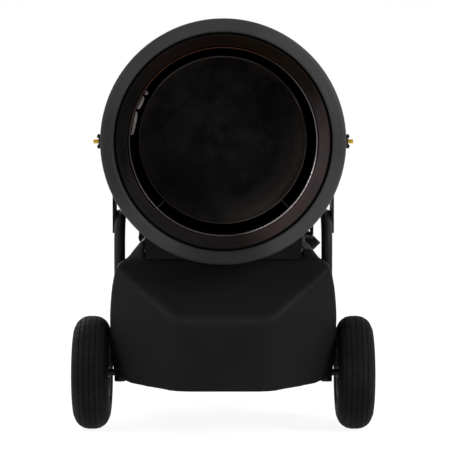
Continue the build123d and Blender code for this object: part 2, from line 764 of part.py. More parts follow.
SCROLL_X = (-42, 34)
SCROLL_T = 2
INLET_ANGLES = (90, 210, 330)
INLET_RADIUS = 42
INLET_HOLE_R = 14
inner_x = (SCROLL_X[0] + SCROLL_T, SCROLL_X[1] - SCROLL_T)
duct_z = (MOTOR_Z - 40, MOTOR_Z + 42)
scroll = motor_rod(*SCROLL_X, SCROLL_R) + block(SCROLL_X, (-131, MOTOR_Y), duct_z)
duct_inside = block(inner_x, (-132, MOTOR_Y), (duct_z[0] + SCROLL_T, duct_z[1] - SCROLL_T))
scroll -= motor_rod(*inner_x, SCROLL_R - SCROLL_T) + duct_inside
scroll -= motor_rod(SCROLL_X[0] - 1, inner_x[0] + 1, 22) + motor_rod(inner_x[1] - 1, SCROLL_X[1] + 1, 10)
for hole in around_motor((SCROLL_X[0] - 1, inner_x[0] + 1), INLET_RADIUS, INLET_ANGLES, INLET_HOLE_R):
    scroll -= hole
scroll -= block((-12, 12), (-140, -100), (HEAD_Z - 12, HEAD_Z + 12))
scroll -= rod((0, -132, HEAD_Z), (0, -55, HEAD_Z), 11)
for x in (-ELECTRODE_X, ELECTRODE_X):
    scroll -= rod((x, -140, HEAD_Z + ELECTRODE_RISE), (x, -98, HEAD_Z + ELECTRODE_RISE), 6)
parts["fan_housing"] = scroll

FAN_R = 62
BLADES = 24
SHAFT_R = 6
fan = motor_rod(-30, 24, 12) + motor_rod(21, 24, FAN_R)
fan_ring = motor_rod(-33, -31, FAN_R) - motor_rod(-34, -30, 46)
blade = block((-33, 24), (48, FAN_R - 0.5), (-0.8, 0.8))
blades = []
for number in range(BLADES):
    blades.append(Pos(0, MOTOR_Y, MOTOR_Z) * Rot(360 / BLADES * number, 0, 0) * blade)
fan = fan + fan_ring + blades
parts["fan_wheel"] = fan - motor_rod(-40, 40, SHAFT_R)
parts["motor_shaft"] = motor_rod(-120, 50, SHAFT_R)

MOTOR_X = (-135, -60)
MOTOR_R = 44
FINS = 16
motor = motor_rod(*MOTOR_X, MOTOR_R) + motor_rod(MOTOR_X[1], -49, 18)
fin = block((MOTOR_X[0] + 8, MOTOR_X[1] - 8), (MOTOR_R - 2, MOTOR_R + 4), (-1, 1))
for number in range(FINS):
    motor += Pos(0, MOTOR_Y, MOTOR_Z) * Rot(360 / FINS * (number + 0.5), 0, 0) * fin
casing_floor = CASING_Z[0] + 2.5
foot_y = (MOTOR_Y - 30, MOTOR_Y + 30)
motor += block((MOTOR_X[0] + 10, MOTOR_X[1] - 10), foot_y, (casing_floor, MOTOR_Z - MOTOR_R + 6))
parts["motor"] = motor - motor_rod(-125, -40, SHAFT_R + RUNNING_GAP)

pump_x = (SCROLL_X[1], SCROLL_X[1] + 58)
pump_z = (MOTOR_Z - 34, MOTOR_Z + 30)
pump = block(pump_x, (MOTOR_Y - 32, MOTOR_Y + 32), pump_z)
pump = fillet(pump.edges().filter_by(Axis.X), 8)
pump += rod((pump_x[0] + 28, MOTOR_Y, pump_z[1]), (pump_x[0] + 28, MOTOR_Y, pump_z[1] + 34), 14)
NIPPLE_Z = MOTOR_Z - 18
pump_elbow = Vector(BARB_X, MOTOR_Y, NIPPLE_Z)
hose_leg = (Vector(*HOSE_TURN) - pump_elbow).normalized()
pump += rod((pump_x[1] - 2, MOTOR_Y, NIPPLE_Z), tuple(pump_elbow), 4) + Pos(*pump_elbow) * Sphere(4)
pump += rod(tuple(pump_elbow), tuple(pump_elbow + hose_leg * BARB_LENGTH), HOSE_BORE)
pump += rod((CASING_HALF_W + 0.2, MOTOR_Y, NIPPLE_Z), (CASING_HALF_W + 6, MOTOR_Y, NIPPLE_Z), 8)
parts["fuel_pump"] = pump - motor_rod(SCROLL_X[1] - 1, 60, SHAFT_R + RUNNING_GAP)

# the damper is a holed plate over the fan's inlet, turned by the lever at its rear
damper_x = (SCROLL_X[0] - 2.2, SCROLL_X[0] - 0.6)
damper = motor_rod(*damper_x, 64) - motor_rod(-50, -40, 19)
for hole in around_motor((-50, -40), INLET_RADIUS, INLET_ANGLES, INLET_HOLE_R):
    damper -= hole
damper += block(damper_x, (MOTOR_Y + 60, MOTOR_Y + 92), (MOTOR_Z - 6, MOTOR_Z + 6))
knob_y = MOTOR_Y + 86
damper += rod((SCROLL_X[0] - 12, knob_y, MOTOR_Z), (damper_x[1], knob_y, MOTOR_Z), 5)
parts["air_damper"] = damper

transformer_y = (MOTOR_Y + 100, MOTOR_Y + 165)
transformer = fillet(block((-20, 110), transformer_y, (casing_floor, 630)).edges(), 4)
terminal_cover = block((-10, 100), (transformer_y[0] + 10, transformer_y[1] - 10), (630, 636))
parts["ignition_transformer"] = transformer + terminal_cover


# ---- burner casing ----
def casing_outline(inset):
    """Casing seen from behind, rounded at the top and bottom edges."""
    half = CASING_HALF_W - inset
    low = CASING_Z[0] + inset
    high = CASING_Z[1] - inset
    corners = [(-half, low), (half, low), (half, high), (-half, high)]
    bends = [14 - inset, 14 - inset, 38 - inset, 38 - inset]
    return make_face(FilletPolyline(*corners, radius=bends, close=True))


def casing_prism(inset, y_range):
    plane = Plane(origin=(0, y_range[1], 0), x_dir=(1, 0, 0), z_dir=(0, -1, 0))
    return extrude(plane * casing_outline(inset), y_range[1] - y_range[0])


casing_front = DRUM_REAR_Y + 3
CASING_WALL = 2
casing = casing_prism(0, (casing_front, CASING_REAR_Y))
casing -= casing_prism(CASING_WALL, (casing_front - 1, CASING_REAR_Y + 1))
casing -= rod((140, MOTOR_Y, NIPPLE_Z), (170, MOTOR_Y, NIPPLE_Z), 4)
SLOT_PITCH = 16
LOUVRES = 7
for number in range(LOUVRES):
    z = 620 + SLOT_PITCH * number
    casing -= block((-170, -140), (30, 150), (z, z + 5))
    casing -= block((140, 170), (30, 150), (z, z + 5))
parts["burner_casing"] = casing

GRILLE_Y = (CASING_REAR_Y + 0.2, CASING_REAR_Y + 2.2)
grille = casing_prism(0, GRILLE_Y)
SLOTS = 11
for number in range(SLOTS):
    z = 570 + SLOT_PITCH * number
    for x0, x1 in ((-130, -6), (6, 130)):
        grille -= block((x0, x1), (CASING_REAR_Y - 5, CASING_REAR_Y + 5), (z, z + 7))
parts["rear_grille"] = grille

SCREW_HEAD_R = 4.5
SCREW_HEAD_T = 2.2
casing_screws = []
head_y = GRILLE_Y[1] + SCREW_HEAD_T
for z in (600, 655, 710):
    casing_screws += both_sides(rod((143, GRILLE_Y[1], z), (143, head_y, z), SCREW_HEAD_R))
for y in (-120, 165):
    for z in (570, 700):
        screw = rod((CASING_HALF_W, y, z), (CASING_HALF_W + SCREW_HEAD_T, y, z), SCREW_HEAD_R)
        casing_screws += both_sides(screw)
parts["casing_screws"] = group(casing_screws)

# ---- fuel hose from the pick-up to the pump ----
hose_start = (BARB_X, pickup_y, ELBOW_Z + 5)
hose_end = tuple(pump_elbow + hose_leg * 6)
hose_points = [hose_start, (BARB_X, pickup_y, 520), HOSE_TURN, hose_end]


def widest_bends(points):
    """Radius for each corner of a route: 0.45 of its shorter run, over the tangent of half its turn."""
    radii = []
    for before, here, after in zip(points, points[1:], points[2:]):
        run_in = Vector(*here) - Vector(*before)
        run_out = Vector(*after) - Vector(*here)
        half_turn = radians(run_in.get_angle(run_out)) / 2
        radii.append(0.45 * min(run_in.length, run_out.length) / tan(half_turn))
    return radii


hose_bends = widest_bends(hose_points)
print("hose bend radii, mm:", [round(radius) for radius in hose_bends])
hose = bent_tube(hose_points, hose_bends, HOSE_R, HOSE_R - HOSE_BORE)
parts["fuel_hose"] = hose - pickup - parts["fuel_pump"]

# ---- rear control cabinet ----
cabinet = block((-CABINET_HALF_W, CABINET_HALF_W), CABINET_Y, CABINET_Z)
cabinet = fillet(cabinet.edges().filter_by(Axis.Y), 5)
inner_half = CABINET_HALF_W - SHEET
cabinet -= block(
    (-inner_half, inner_half),
    (CABINET_Y[0] + SHEET, CABINET_Y[1] + 1),
    (CABINET_Z[0] + SHEET, CABINET_Z[1] - SHEET),
)
parts["control_cabinet"] = cabinet

# each bracket runs up the cabinet's side and then out to the upper rail
BRACKET_Y = (115, 145)
bracket_x = (CABINET_HALF_W + 0.3, CABINET_HALF_W + 3.3)
bracket = block(bracket_x, BRACKET_Y, (CABINET_Z[0] + 10, RAIL_Z))
bracket += block((bracket_x[0], TUBE_X), BRACKET_Y, (RAIL_Z - 3, RAIL_Z))
bracket -= rod((TUBE_X, 0, RAIL_Z), (TUBE_X, 200, RAIL_Z), TUBE_R)
parts["cabinet_brackets"] = group(both_sides(bracket))

CONTROL_Z = 425
panel_y = (CABINET_Y[1], CABINET_Y[1] + PANEL_T)
panel_back = panel_y[0]
panel_face = panel_y[1]
KNOB_X = 130
ROCKER_X = 70
RESET_X = 20
LAMP_X = -30
GLAND_X = -140
SPINDLE_R = 4
RESET_R = 6
LAMP_R = 5
GLAND_R = 9
ROCKER_SIZE = (18, 26)


def panel_rod(x, y0, y1, radius):
    """Round bar square to the panel at the controls' height."""
    return rod((x, y0, CONTROL_Z), (x, y1, CONTROL_Z), radius)


panel = block((-CABINET_HALF_W, CABINET_HALF_W), panel_y, CABINET_Z)
holes = (
    (KNOB_X, SPINDLE_R + RUNNING_GAP),
    (RESET_X, RESET_R + RUNNING_GAP),
    (LAMP_X, LAMP_R),
    (GLAND_X, GLAND_R),
)
for x, radius in holes:
    panel -= panel_rod(x, panel_back - 1, panel_face + 1, radius)
rocker_w, rocker_h = ROCKER_SIZE
half_w = rocker_w / 2
panel -= block(
    (ROCKER_X - half_w - 0.4, ROCKER_X + half_w + 0.4),
    (panel_back - 1, panel_face + 1),
    (CONTROL_Z - rocker_h / 2 - 0.3, CONTROL_Z + rocker_h / 2 + 0.3),
)
parts["control_panel"] = panel

knob_start = panel_face + 1
KNOB_R = 19
knob_line = [
    (0, 0),
    (KNOB_R, 0),
    (KNOB_R, 2.5),
    (KNOB_R - 3, 3.5),
    (KNOB_R - 4, 19),
    (KNOB_R - 5.5, 20.5),
    (0, 20.5),
]
knob = turned(knob_line, (KNOB_X, knob_start, CONTROL_Z), (0, 1, 0), (1, 0, 0))
for number in range(18):
    angle = radians(20 * number)
    x = KNOB_X + (KNOB_R - 3) * cos(angle)
    z = CONTROL_Z + (KNOB_R - 3) * sin(angle)
    knob -= rod((x, knob_start + 4, z), (x, knob_start + 22, z), 1.2)
pointer_z = (CONTROL_Z + 3, CONTROL_Z + 14)
knob -= block((KNOB_X - 0.8, KNOB_X + 0.8), (knob_start + 19.5, knob_start + 21), pointer_z)
parts["thermostat_knob"] = knob + panel_rod(KNOB_X, panel_back - 14, knob_start + 1, SPINDLE_R)

ROCKER_AXIS_Y = panel_back - 1.5
ROCKER_TILT = 8  # at rest the switch is off, tipped this far from level
half_h = rocker_h / 2 - 1.2
half_side = [(7.5, half_h - 0.4), (0, half_h), (-4, 4)]
other_half = [(y, -z) for y, z in reversed(half_side)]
rocker_side = Polyline(*other_half, (5.5, 0), *half_side, close=True)
rocker_plane = Plane(
    origin=(ROCKER_X - half_w, ROCKER_AXIS_Y, CONTROL_Z), x_dir=(0, 1, 0), z_dir=(1, 0, 0)
)
rocker = extrude(rocker_plane * Rot(0, 0, -ROCKER_TILT) * make_face(rocker_side), rocker_w)
pin_ends = [(ROCKER_X + end * (half_w + 2.5), ROCKER_AXIS_Y, CONTROL_Z) for end in (-1, 1)]
parts["power_rocker"] = rocker + rod(*pin_ends, 1.2)

RESET_TRAVEL = 3
reset = panel_rod(RESET_X, panel_back - 8, panel_face + 5, RESET_R)
parts["reset_button"] = fillet(reset.edges().group_by(Axis.Y)[-1], 1.2)

LAMP_FLANGE_T = 1.5
lamp = panel_rod(LAMP_X, panel_back - 10, panel_face, LAMP_R)
lamp += panel_rod(LAMP_X, panel_face, panel_face + LAMP_FLANGE_T, LAMP_R + 2)
dome = Pos(LAMP_X, panel_face + LAMP_FLANGE_T, CONTROL_Z) * Sphere(LAMP_R + 0.5)
dome -= block((-100, 100), (0, panel_face + LAMP_FLANGE_T), (300, 500))
parts["pilot_lamp"] = lamp + dome

# cable gland: threaded body, hexagon and nut on the panel, and a clamping cap behind
GLAND_BORE = 4.5
gland = panel_rod(GLAND_X, panel_back - 8, panel_face + 1, GLAND_R)
gland += panel_rod(GLAND_X, panel_face + 6, panel_face + 18, GLAND_R + 2)
gland_hexagon = RegularPolygon(13, 6, major_radius=False)
for y, direction, thickness in ((panel_face, 1, 6), (panel_back, -1, 4)):
    seat = Plane(origin=(GLAND_X, y, CONTROL_Z), z_dir=(0, direction, 0))
    gland += extrude(seat * gland_hexagon, thickness)
parts["cable_gland"] = gland - panel_rod(GLAND_X, panel_back - 20, panel_face + 30, GLAND_BORE)

# the board stands at the cabinet's front and carries the thermostat and the switches
board_y = (CABINET_Y[0] + 6, CABINET_Y[0] + 8)
board = block((-90, 150), board_y, (402, 446))
board_parts = (
    ((-70, -30), board_y[1] + 24, (406, 440)),  # transformer
    ((-10, 12), board_y[1] + 16, (408, 430)),  # relay
    ((KNOB_X - 15, KNOB_X + 15), panel_back - 17, (CONTROL_Z - 15, CONTROL_Z + 15)),
    ((ROCKER_X - 10, ROCKER_X + 10), panel_back - 9, (CONTROL_Z - 14, CONTROL_Z + 14)),
    ((RESET_X - 5, RESET_X + 5), panel_back - 8.5 - RESET_TRAVEL, (418, 432)),
)
for x_range, front_y, z_range in board_parts:
    board += block(x_range, (board_y[1] - 0.5, front_y), z_range)
parts["control_board"] = board

# ---- fuel cap ----
SEAL_T = 2
cap_base = NECK_LIP + 0.1
cap_end = NECK_LIP + CAP_T
seal_top = cap_base + SEAL_T
SKIRT_H = 12  # the seal's skirt round the neck
seal = cap_ring(cap_base, seal_top, CAP_R - 2.5, FILLER_R + 0.3)
parts["cap_seal"] = seal + cap_ring(seal_top - 0.5, seal_top + SKIRT_H, FILLER_R + 1.5, FILLER_R + 0.3)

cap = cap_ring(cap_base, cap_end, CAP_R, 0)
cap -= cap_ring(cap_base - 1, seal_top + 0.1, CAP_R - 2, 0)
cap -= cap_ring(cap_base, seal_top + SKIRT_H + 0.5, FILLER_R + 1.8, 0)
RIBS = 20
rib_plane = Plane(origin=tuple(along_cap(cap_base + 4)), z_dir=tuple(CAP_AXIS))
groove = Cylinder(1.5, 40, align=(Align.CENTER, Align.CENTER, Align.MIN))
for number in range(RIBS):
    angle = 2 * pi / RIBS * number
    cap -= rib_plane * Pos(CAP_R * cos(angle), CAP_R * sin(angle), 0) * groove
parts["fuel_cap"] = cap


# ---- frame fasteners ----
PLUG_LIP = 2.5
PLUG_DEPTH = 8


def tube_plug(end, outward, tube_r):
    """Plastic plug in a tube's open end."""
    end, outward = Vector(*end), Vector(*outward)
    stem = rod(tuple(end - outward * PLUG_DEPTH), tuple(end), tube_r - TUBE_WALL - 0.1)
    return stem + rod(tuple(end), tuple(end + outward * PLUG_LIP), tube_r)


def frame_bolts():
    """Bolts through the straps and cabinet brackets, and plugs in the tube ends."""
    bolts = []
    strap_x = TUBE_X - BRACE_R - STRAP_T
    for y in STRAP_YS:
        bolts += both_sides(hex_bolt((strap_x, y, LOWER_RAIL_Z), (1, 0, 0), 13, 3, 4, 6))
    for z in (CABINET_Z[0] + 18, CABINET_Z[1] - 10):
        bolts += both_sides(hex_bolt((bracket_x[1], 130, z), (-1, 0, 0), 8, 1.6, 2.5, 6))
    bolts += both_sides(tube_plug((TUBE_X, UPRIGHT_Y, UPRIGHT_END_Z), (0, 0, -1), TUBE_R))
    bolts += both_sides(tube_plug((TUBE_X, STAND_Y, LOWER_RAIL_Z), (0, 1, 0), BRACE_R))
    return group(bolts)


parts["frame_bolts"] = frame_bolts()
bolt_space = parts["frame_bolts"]
bolted = ("side_frame_left", "side_frame_right", "cross_members", "control_cabinet")
for name in bolted + ("cabinet_brackets", "fuel_tank"):
    parts[name] = group([parts[name] - bolt_space])

os.makedirs("parts", exist_ok=True)
for name, shape in parts.items():
    export_step(shape, f"parts/{name}.step")
print(len(parts), "parts written")
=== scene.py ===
import math

import bpy
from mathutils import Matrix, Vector


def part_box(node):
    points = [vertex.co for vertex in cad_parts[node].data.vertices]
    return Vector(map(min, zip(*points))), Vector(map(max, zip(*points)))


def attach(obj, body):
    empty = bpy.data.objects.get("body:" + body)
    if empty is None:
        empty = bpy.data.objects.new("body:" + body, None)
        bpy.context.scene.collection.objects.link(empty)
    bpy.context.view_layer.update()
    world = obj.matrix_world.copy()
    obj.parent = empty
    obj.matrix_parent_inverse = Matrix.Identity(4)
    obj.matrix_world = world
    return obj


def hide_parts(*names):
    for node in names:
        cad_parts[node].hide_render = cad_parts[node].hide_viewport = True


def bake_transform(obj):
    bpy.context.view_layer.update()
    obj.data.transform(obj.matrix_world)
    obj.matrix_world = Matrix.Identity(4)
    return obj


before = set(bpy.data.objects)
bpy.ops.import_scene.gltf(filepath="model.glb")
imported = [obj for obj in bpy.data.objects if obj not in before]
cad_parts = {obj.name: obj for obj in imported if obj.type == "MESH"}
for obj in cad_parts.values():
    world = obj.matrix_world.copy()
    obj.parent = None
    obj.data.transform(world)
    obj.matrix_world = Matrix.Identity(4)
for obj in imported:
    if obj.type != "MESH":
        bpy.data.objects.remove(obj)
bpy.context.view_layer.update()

# ---- camera and studio ----
# The heater stands on a pale floor in front of white. It is seen from straight ahead through a
# long lens at about the head's height, between two tall soft lights.
IMAGE_PIXELS = 450
FOCAL_PIXELS = 1962
HORIZON_PIXELS = 94  # the horizon lies this far above the picture's middle
SENSOR_MM = 36
CAMERA_PLACE = (0.004, -4.83, 0.685)

camera = bpy.data.objects.new("camera", bpy.data.cameras.new("camera"))
bpy.context.scene.collection.objects.link(camera)
camera.location = CAMERA_PLACE
camera.rotation_euler = (math.pi / 2 - math.atan(HORIZON_PIXELS / FOCAL_PIXELS), 0, 0)
camera.data.sensor_width = SENSOR_MM
camera.data.lens = SENSOR_MM * FOCAL_PIXELS / IMAGE_PIXELS
bpy.context.scene.camera = camera
bpy.context.scene.view_settings.view_transform = "Standard"


class Field:
    """A number, colour or vector that changes over a surface: one socket, with arithmetic."""

    def __init__(self, finish, socket):
        self.finish = finish
        self.socket = socket

    def maths(self, operation, *values):
        """The result of one Math node."""
        return self.finish.node("ShaderNodeMath", {"operation": operation}, dict(enumerate(values)))

    def __add__(self, other):
        return self.maths("ADD", self, other)

    def __mul__(self, other):
        return self.maths("MULTIPLY", self, other)

    def __sub__(self, other):
        return self.maths("SUBTRACT", self, other)

    def __rsub__(self, other):
        return self.maths("SUBTRACT", other, self)

    def __truediv__(self, other):
        return self.maths("DIVIDE", self, other)

    def __pow__(self, other):
        return self.maths("POWER", self, other)

    def __abs__(self):
        return self.maths("ABSOLUTE", self)

    __radd__ = __add__
    __rmul__ = __mul__

    def between(self, low, high):
        """0 at low, 1 at high, and a soft step in between."""
        settings = {"interpolation_type": "SMOOTHSTEP"}
        sockets = {0: self, 1: low, 2: high, 3: 0.0, 4: 1.0}
        return self.finish.node("ShaderNodeMapRange", settings, sockets)

    def near(self, middle, reach):
        """1 at the middle, and 0 from reach on."""
        return 1 - abs(self - middle).between(0.0, reach)


class NodeTree:
    """The nodes of one finish, or of the world, which are made and linked through node()."""

    def __init__(self, owner):
        owner.use_nodes = True
        self.tree = owner.node_tree

    def node(self, kind, settings, sockets, output=0):
        """Adds a node: its settings first, then the values or links of its sockets."""
        made = self.tree.nodes.new(kind)
        for name, value in settings.items():
            setattr(made, name, value)
        for name, value in sockets.items():
            self.feed(made.inputs[name], value)
        return Field(self, made.outputs[output])

    def feed(self, socket, value):
        """Links a field to a socket, or sets the socket's own value."""
        if isinstance(value, Field):
            self.tree.links.new(value.socket, socket)
        elif hasattr(value, "__len__") and socket.type == "RGBA":
            socket.default_value = (*value, 1)
        else:
            socket.default_value = value

    def mix(self, share, first, second):
        """Colour between two others."""
        settings = {"data_type": "RGBA"}
        return self.node("ShaderNodeMix", settings, {0: share, 6: first, 7: second}, output=2)

    def seen_or_mirrored(self):
        """1 on the rays that the camera, metal or glass sends out, 0 on the light's own."""
        rays = ("Is Camera Ray", "Is Glossy Ray", "Is Transmission Ray")
        seen, glossy, through = (self.node("ShaderNodeLightPath", {}, {}, output=ray) for ray in rays)
        return seen, glossy + through


# The world is white where the camera, metal or glass sees it. What lights the heater is softer:
# full from the sides and the rear, and dim from behind the camera.
STUDIO_LEVEL = 0.45
FRONT_SHARE = 0.25
world = bpy.data.worlds.new("studio")
bpy.context.scene.world = world
air = NodeTree(world)
direction = air.node("ShaderNodeTexCoord", {}, {}, output="Generated")
toward_front = 0 - air.node("ShaderNodeSeparateXYZ", {}, {0: direction}, output="Y")
dimmed = 1 - toward_front.between(0.1, 0.9) * (1 - FRONT_SHARE)
seen, mirrored = air.seen_or_mirrored()
level = seen + (1 - seen) * dimmed * (mirrored * (1 - STUDIO_LEVEL) + STUDIO_LEVEL)
air.feed(air.tree.nodes["Background"].inputs["Strength"], level)
air.tree.nodes["Background"].inputs["Color"].default_value = (1, 1, 1, 1)


def soft_light(name, place, target, size, power):
    """A large soft lamp that points at the target."""
    lamp = bpy.data.lights.new(name, "AREA")
    lamp.shape = "RECTANGLE"
    lamp.size, lamp.size_y = size
    lamp.energy = power
    holder = bpy.data.objects.new(name, lamp)
    holder.location = place
    holder.rotation_euler = (Vector(target) - Vector(place)).to_track_quat("-Z", "Y").to_euler()
    bpy.context.scene.collection.objects.link(holder)


FRONT_HALF = (0, -0.3, 0.5)
REAR_HALF = (0, 0.2, 0.5)
soft_light("key_light", (3.4, -2.9, 2.3), FRONT_HALF, size=(1.6, 2.2), power=105)
soft_light("fill_light", (-3.4, -2.6, 1.5), FRONT_HALF, size=(1.6, 2.4), power=60)
soft_light("rear_light", (-1.5, 3.6, 2.6), REAR_HALF, size=(2.0, 1.6), power=70)

# The floor's own white and the light that it catches add up to plain white, so that only the
# heater's shadow shows on it.
FLOOR_HALF = 30
FLOOR_WHITE = 0.7
FLOOR_GLOW = 1.3
PAPER = (0.8, 0.8, 0.8)
floor_mesh = bpy.data.meshes.new("floor")
corners = [(-FLOOR_HALF, -FLOOR_HALF, 0), (FLOOR_HALF, -FLOOR_HALF, 0)]
corners += [(FLOOR_HALF, FLOOR_HALF, 0), (-FLOOR_HALF, FLOOR_HALF, 0)]
floor_mesh.from_pydata(corners, [], [(0, 1, 2, 3)])
floor = bpy.data.objects.new("floor", floor_mesh)
bpy.context.scene.collection.objects.link(floor)
floor_paper = bpy.data.materials.new("floor_paper")
paper = NodeTree(floor_paper)
lit = paper.node("ShaderNodeBsdfDiffuse", {}, {"Color": PAPER})
white = paper.node("ShaderNodeEmission", {}, {"Color": (1, 1, 1), "Strength": FLOOR_GLOW})
seen, mirrored = paper.seen_or_mirrored()
share_white = (seen + mirrored) * FLOOR_WHITE
paper_surface = paper.node("ShaderNodeMixShader", {}, {0: share_white, 1: lit, 2: white})
paper.feed(paper.tree.nodes["Material Output"].inputs["Surface"], paper_surface)
floor_mesh.materials.append(floor_paper)


# ---- frame of bent tube ----
# The side frames, rear ladder, stand and handle are 25 mm steel tube, bent cold, welded, and
# powder-coated satin black. The coat has a fine orange peel and is dull where it gathers dust.
class Finish(NodeTree):
    """A procedural finish for one kind of surface."""

    def __init__(self, name, roughness, metallic=0.0, specular=0.3):
        material = bpy.data.materials.new(name)
        super().__init__(material)
        self.material = material
        self.shader = self.tree.nodes["Principled BSDF"]
        self.place = self.node("ShaderNodeTexCoord", {}, {}, output="Object")
        self.shader.inputs["Roughness"].default_value = roughness
        self.shader.inputs["Metallic"].default_value = metallic
        self.shader.inputs["Specular IOR Level"].default_value = specular

    def set(self, name, value):
        """Feeds one of the surface's own sockets."""
        self.feed(self.shader.inputs[name], value)

    def axes(self):
        """The place's X, Y and Z."""
        return [self.node("ShaderNodeSeparateXYZ", {}, {0: self.place}, output=axis) for axis in "XYZ"]

    def noise(self, scale, detail=3.0, roughness=0.55, stretch=(1, 1, 1)):
        """Noise from 0 to 1; scale is about its patches per metre."""
        place = self.node("ShaderNodeMapping", {}, {"Vector": self.place, "Scale": stretch})
        sockets = {"Vector": place, "Scale": float(scale), "Detail": detail, "Roughness": roughness}
        return self.node("ShaderNodeTexNoise", {}, sockets)

    def relief(self, height, depth):
        """Fine relief that is depth metres high."""
        sockets = {"Height": height, "Distance": depth, "Strength": 1.0}
        self.set("Normal", self.node("ShaderNodeBump", {}, sockets))


def powder_coat(name, colour, worn, roughness=0.45, peel=0.00006, specular=0.1):
    """Baked powder paint: orange peel, faint dust and a slow drift of its tone and gloss."""
    coat = Finish(name, roughness, specular=specular)
    cloud = coat.noise(9, 4)
    speck = coat.noise(420, 2)
    tone = coat.mix(cloud.between(0.35, 0.7), colour, worn)
    coat.colour = coat.mix(speck.between(0.55, 0.75) * 0.35, tone, worn)
    coat.set("Base Color", coat.colour)
    coat.set("Roughness", coat.noise(30, 3) * 0.16 + (roughness - 0.08))
    coat.relief(coat.noise(650, 2), peel)
    return coat


def dress(finish, *nodes):
    """Gives CAD pieces their finish."""
    for name in nodes:
        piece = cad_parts[name]
        if not piece.material_slots:
            piece.data.materials.append(finish.material)
        for material_slot in piece.material_slots:
            material_slot.material = finish.material


frame_coat = powder_coat("frame_coat", (0.008, 0.008, 0.0083), (0.013, 0.013, 0.013), specular=0.12)
dress(frame_coat, "side_frame_left", "side_frame_right", "handle_bar", "cross_members")
dress(frame_coat, "rear_stand", "cabinet_brackets")

# the left plate is painted darker than the right one: painted shade, as less light reaches it
plate_coat = powder_coat("plate_coat", (0.0085, 0.0085, 0.0088), (0.014, 0.014, 0.014), specular=0.12)
left_plate_painted_shade = plate_coat.axes()[0].between(0.05, -0.05)
plate_coat.set("Base Color", plate_coat.mix(left_plate_painted_shade, plate_coat.colour, (0.0022, 0.0022, 0.0022)))
plate_coat.set("Roughness", left_plate_painted_shade * 0.3 + plate_coat.noise(30, 3) * 0.16 + 0.37)
dress(plate_coat, "pivot_plates")


def skin(rings, along=False):
    """Points and quads of a surface through closed rings; along joins the last ring to the first."""
    points = [point for ring in rings for point in ring]
    count = len(rings[0])
    faces = []
    for row in range(len(rings) if along else len(rings) - 1):
        here = row * count
        there = (row + 1) % len(rings) * count
        for step in range(count):
            after = (step + 1) % count
            faces.append((here + step, here + after, there + after, there + step))
    return points, faces


def make_piece(name, points, faces, finish, body, slot, smooth=True):
    """A new piece of the object: its mesh, its finish, and the body that it rides on, if any."""
    mesh = bpy.data.meshes.new(name)
    mesh.from_pydata([tuple(point) for point in points], [], faces)
    mesh.materials.append(finish.material)
    mesh.polygons.foreach_set("use_smooth", [smooth] * len(mesh.polygons))
    made = bpy.data.objects.new(name, mesh)
    bpy.context.scene.collection.objects.link(made)
    if body:
        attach(made, body)
    return made


SIDES = (("left", -1), ("right", 1))
TUBE_R = 0.0127
TUBE_X = 0.238
AXLE_Y = -0.33
RAIL_Z = 0.49
LOWER_RAIL_Z = 0.165
LOW_TUBE_Y = 0.344
HIGH_TUBE_Y = 0.228
RAIL_BEND = 0.07
BRACE_R = 0.011
LADDER_R = 0.0105
POST_R = 0.009
POST_X = 0.185
PLATE_X = TUBE_X + TUBE_R
PLATE_EDGES_Y = (-0.3, -0.207)
BEAD_R = 0.0021
BEAD_STEPS = 96
BEAD_CORNERS = 10
STEPS_PER_PUDDLE = 4
PUDDLE_SWELL = 0.16
TAPER_STEPS = 3
BEAD_SUNK = 0.0012  # the plate's beads lie this deep in its outer side
PLATE_WELD_RISE = 0.0072
BEND_STEPS = 48
STRAIGHT_STEPS = 52


def bead(name, path, outward=None):
    """The rippled weld along a path, painted with the frame; one with no outward side is a loop."""
    closed = outward is None
    last = len(path) - 1
    middle = sum(path, Vector()) / len(path)
    rings = []
    for step, point in enumerate(path):
        after = path[(step + 1) % len(path)] if closed else path[min(step + 1, last)]
        before = path[step - 1] if closed else path[max(step - 1, 0)]
        along = (after - before).normalized()
        out = point - middle if closed else outward
        out = (out - along * out.dot(along)).normalized()
        across = along.cross(out)
        taper = 1.0 if closed else min(1.0, 0.01 + min(step, last - step) / TAPER_STEPS)
        ripple = PUDDLE_SWELL * math.sin(2 * math.pi * step / STEPS_PER_PUDDLE)
        radius = BEAD_R * taper * (1 + ripple)
        corners = [2 * math.pi * corner / BEAD_CORNERS for corner in range(BEAD_CORNERS)]
        rings.append([point + (out * math.cos(a) + across * math.sin(a)) * radius for a in corners])
    make_piece(name, *skin(rings, along=closed), frame_coat, "chassis", "frame_paint")


def weld(name, centre, tube, host, tube_r, host_r):
    """The bead round a tube's end on the side of another tube."""
    centre, tube, host = Vector(centre), Vector(tube).normalized(), Vector(host).normalized()
    side = tube.cross(host).normalized()
    level = host - tube * host.dot(tube)
    lean = tube - host * tube.dot(host)
    path = []
    for step in range(BEAD_STEPS):
        turn = 2 * math.pi * step / BEAD_STEPS
        start = (side * math.cos(turn) + level.normalized() * math.sin(turn)) * tube_r
        flat = start - host * start.dot(host)
        # the point slides along the tube until it lies on the other tube's surface
        a, b, c = lean.dot(lean), 2 * lean.dot(flat), flat.dot(flat) - host_r**2
        reach = (-b + math.sqrt(b * b - 4 * a * c)) / (2 * a)
        path.append(centre + start + tube * reach)
    bead(name, path)


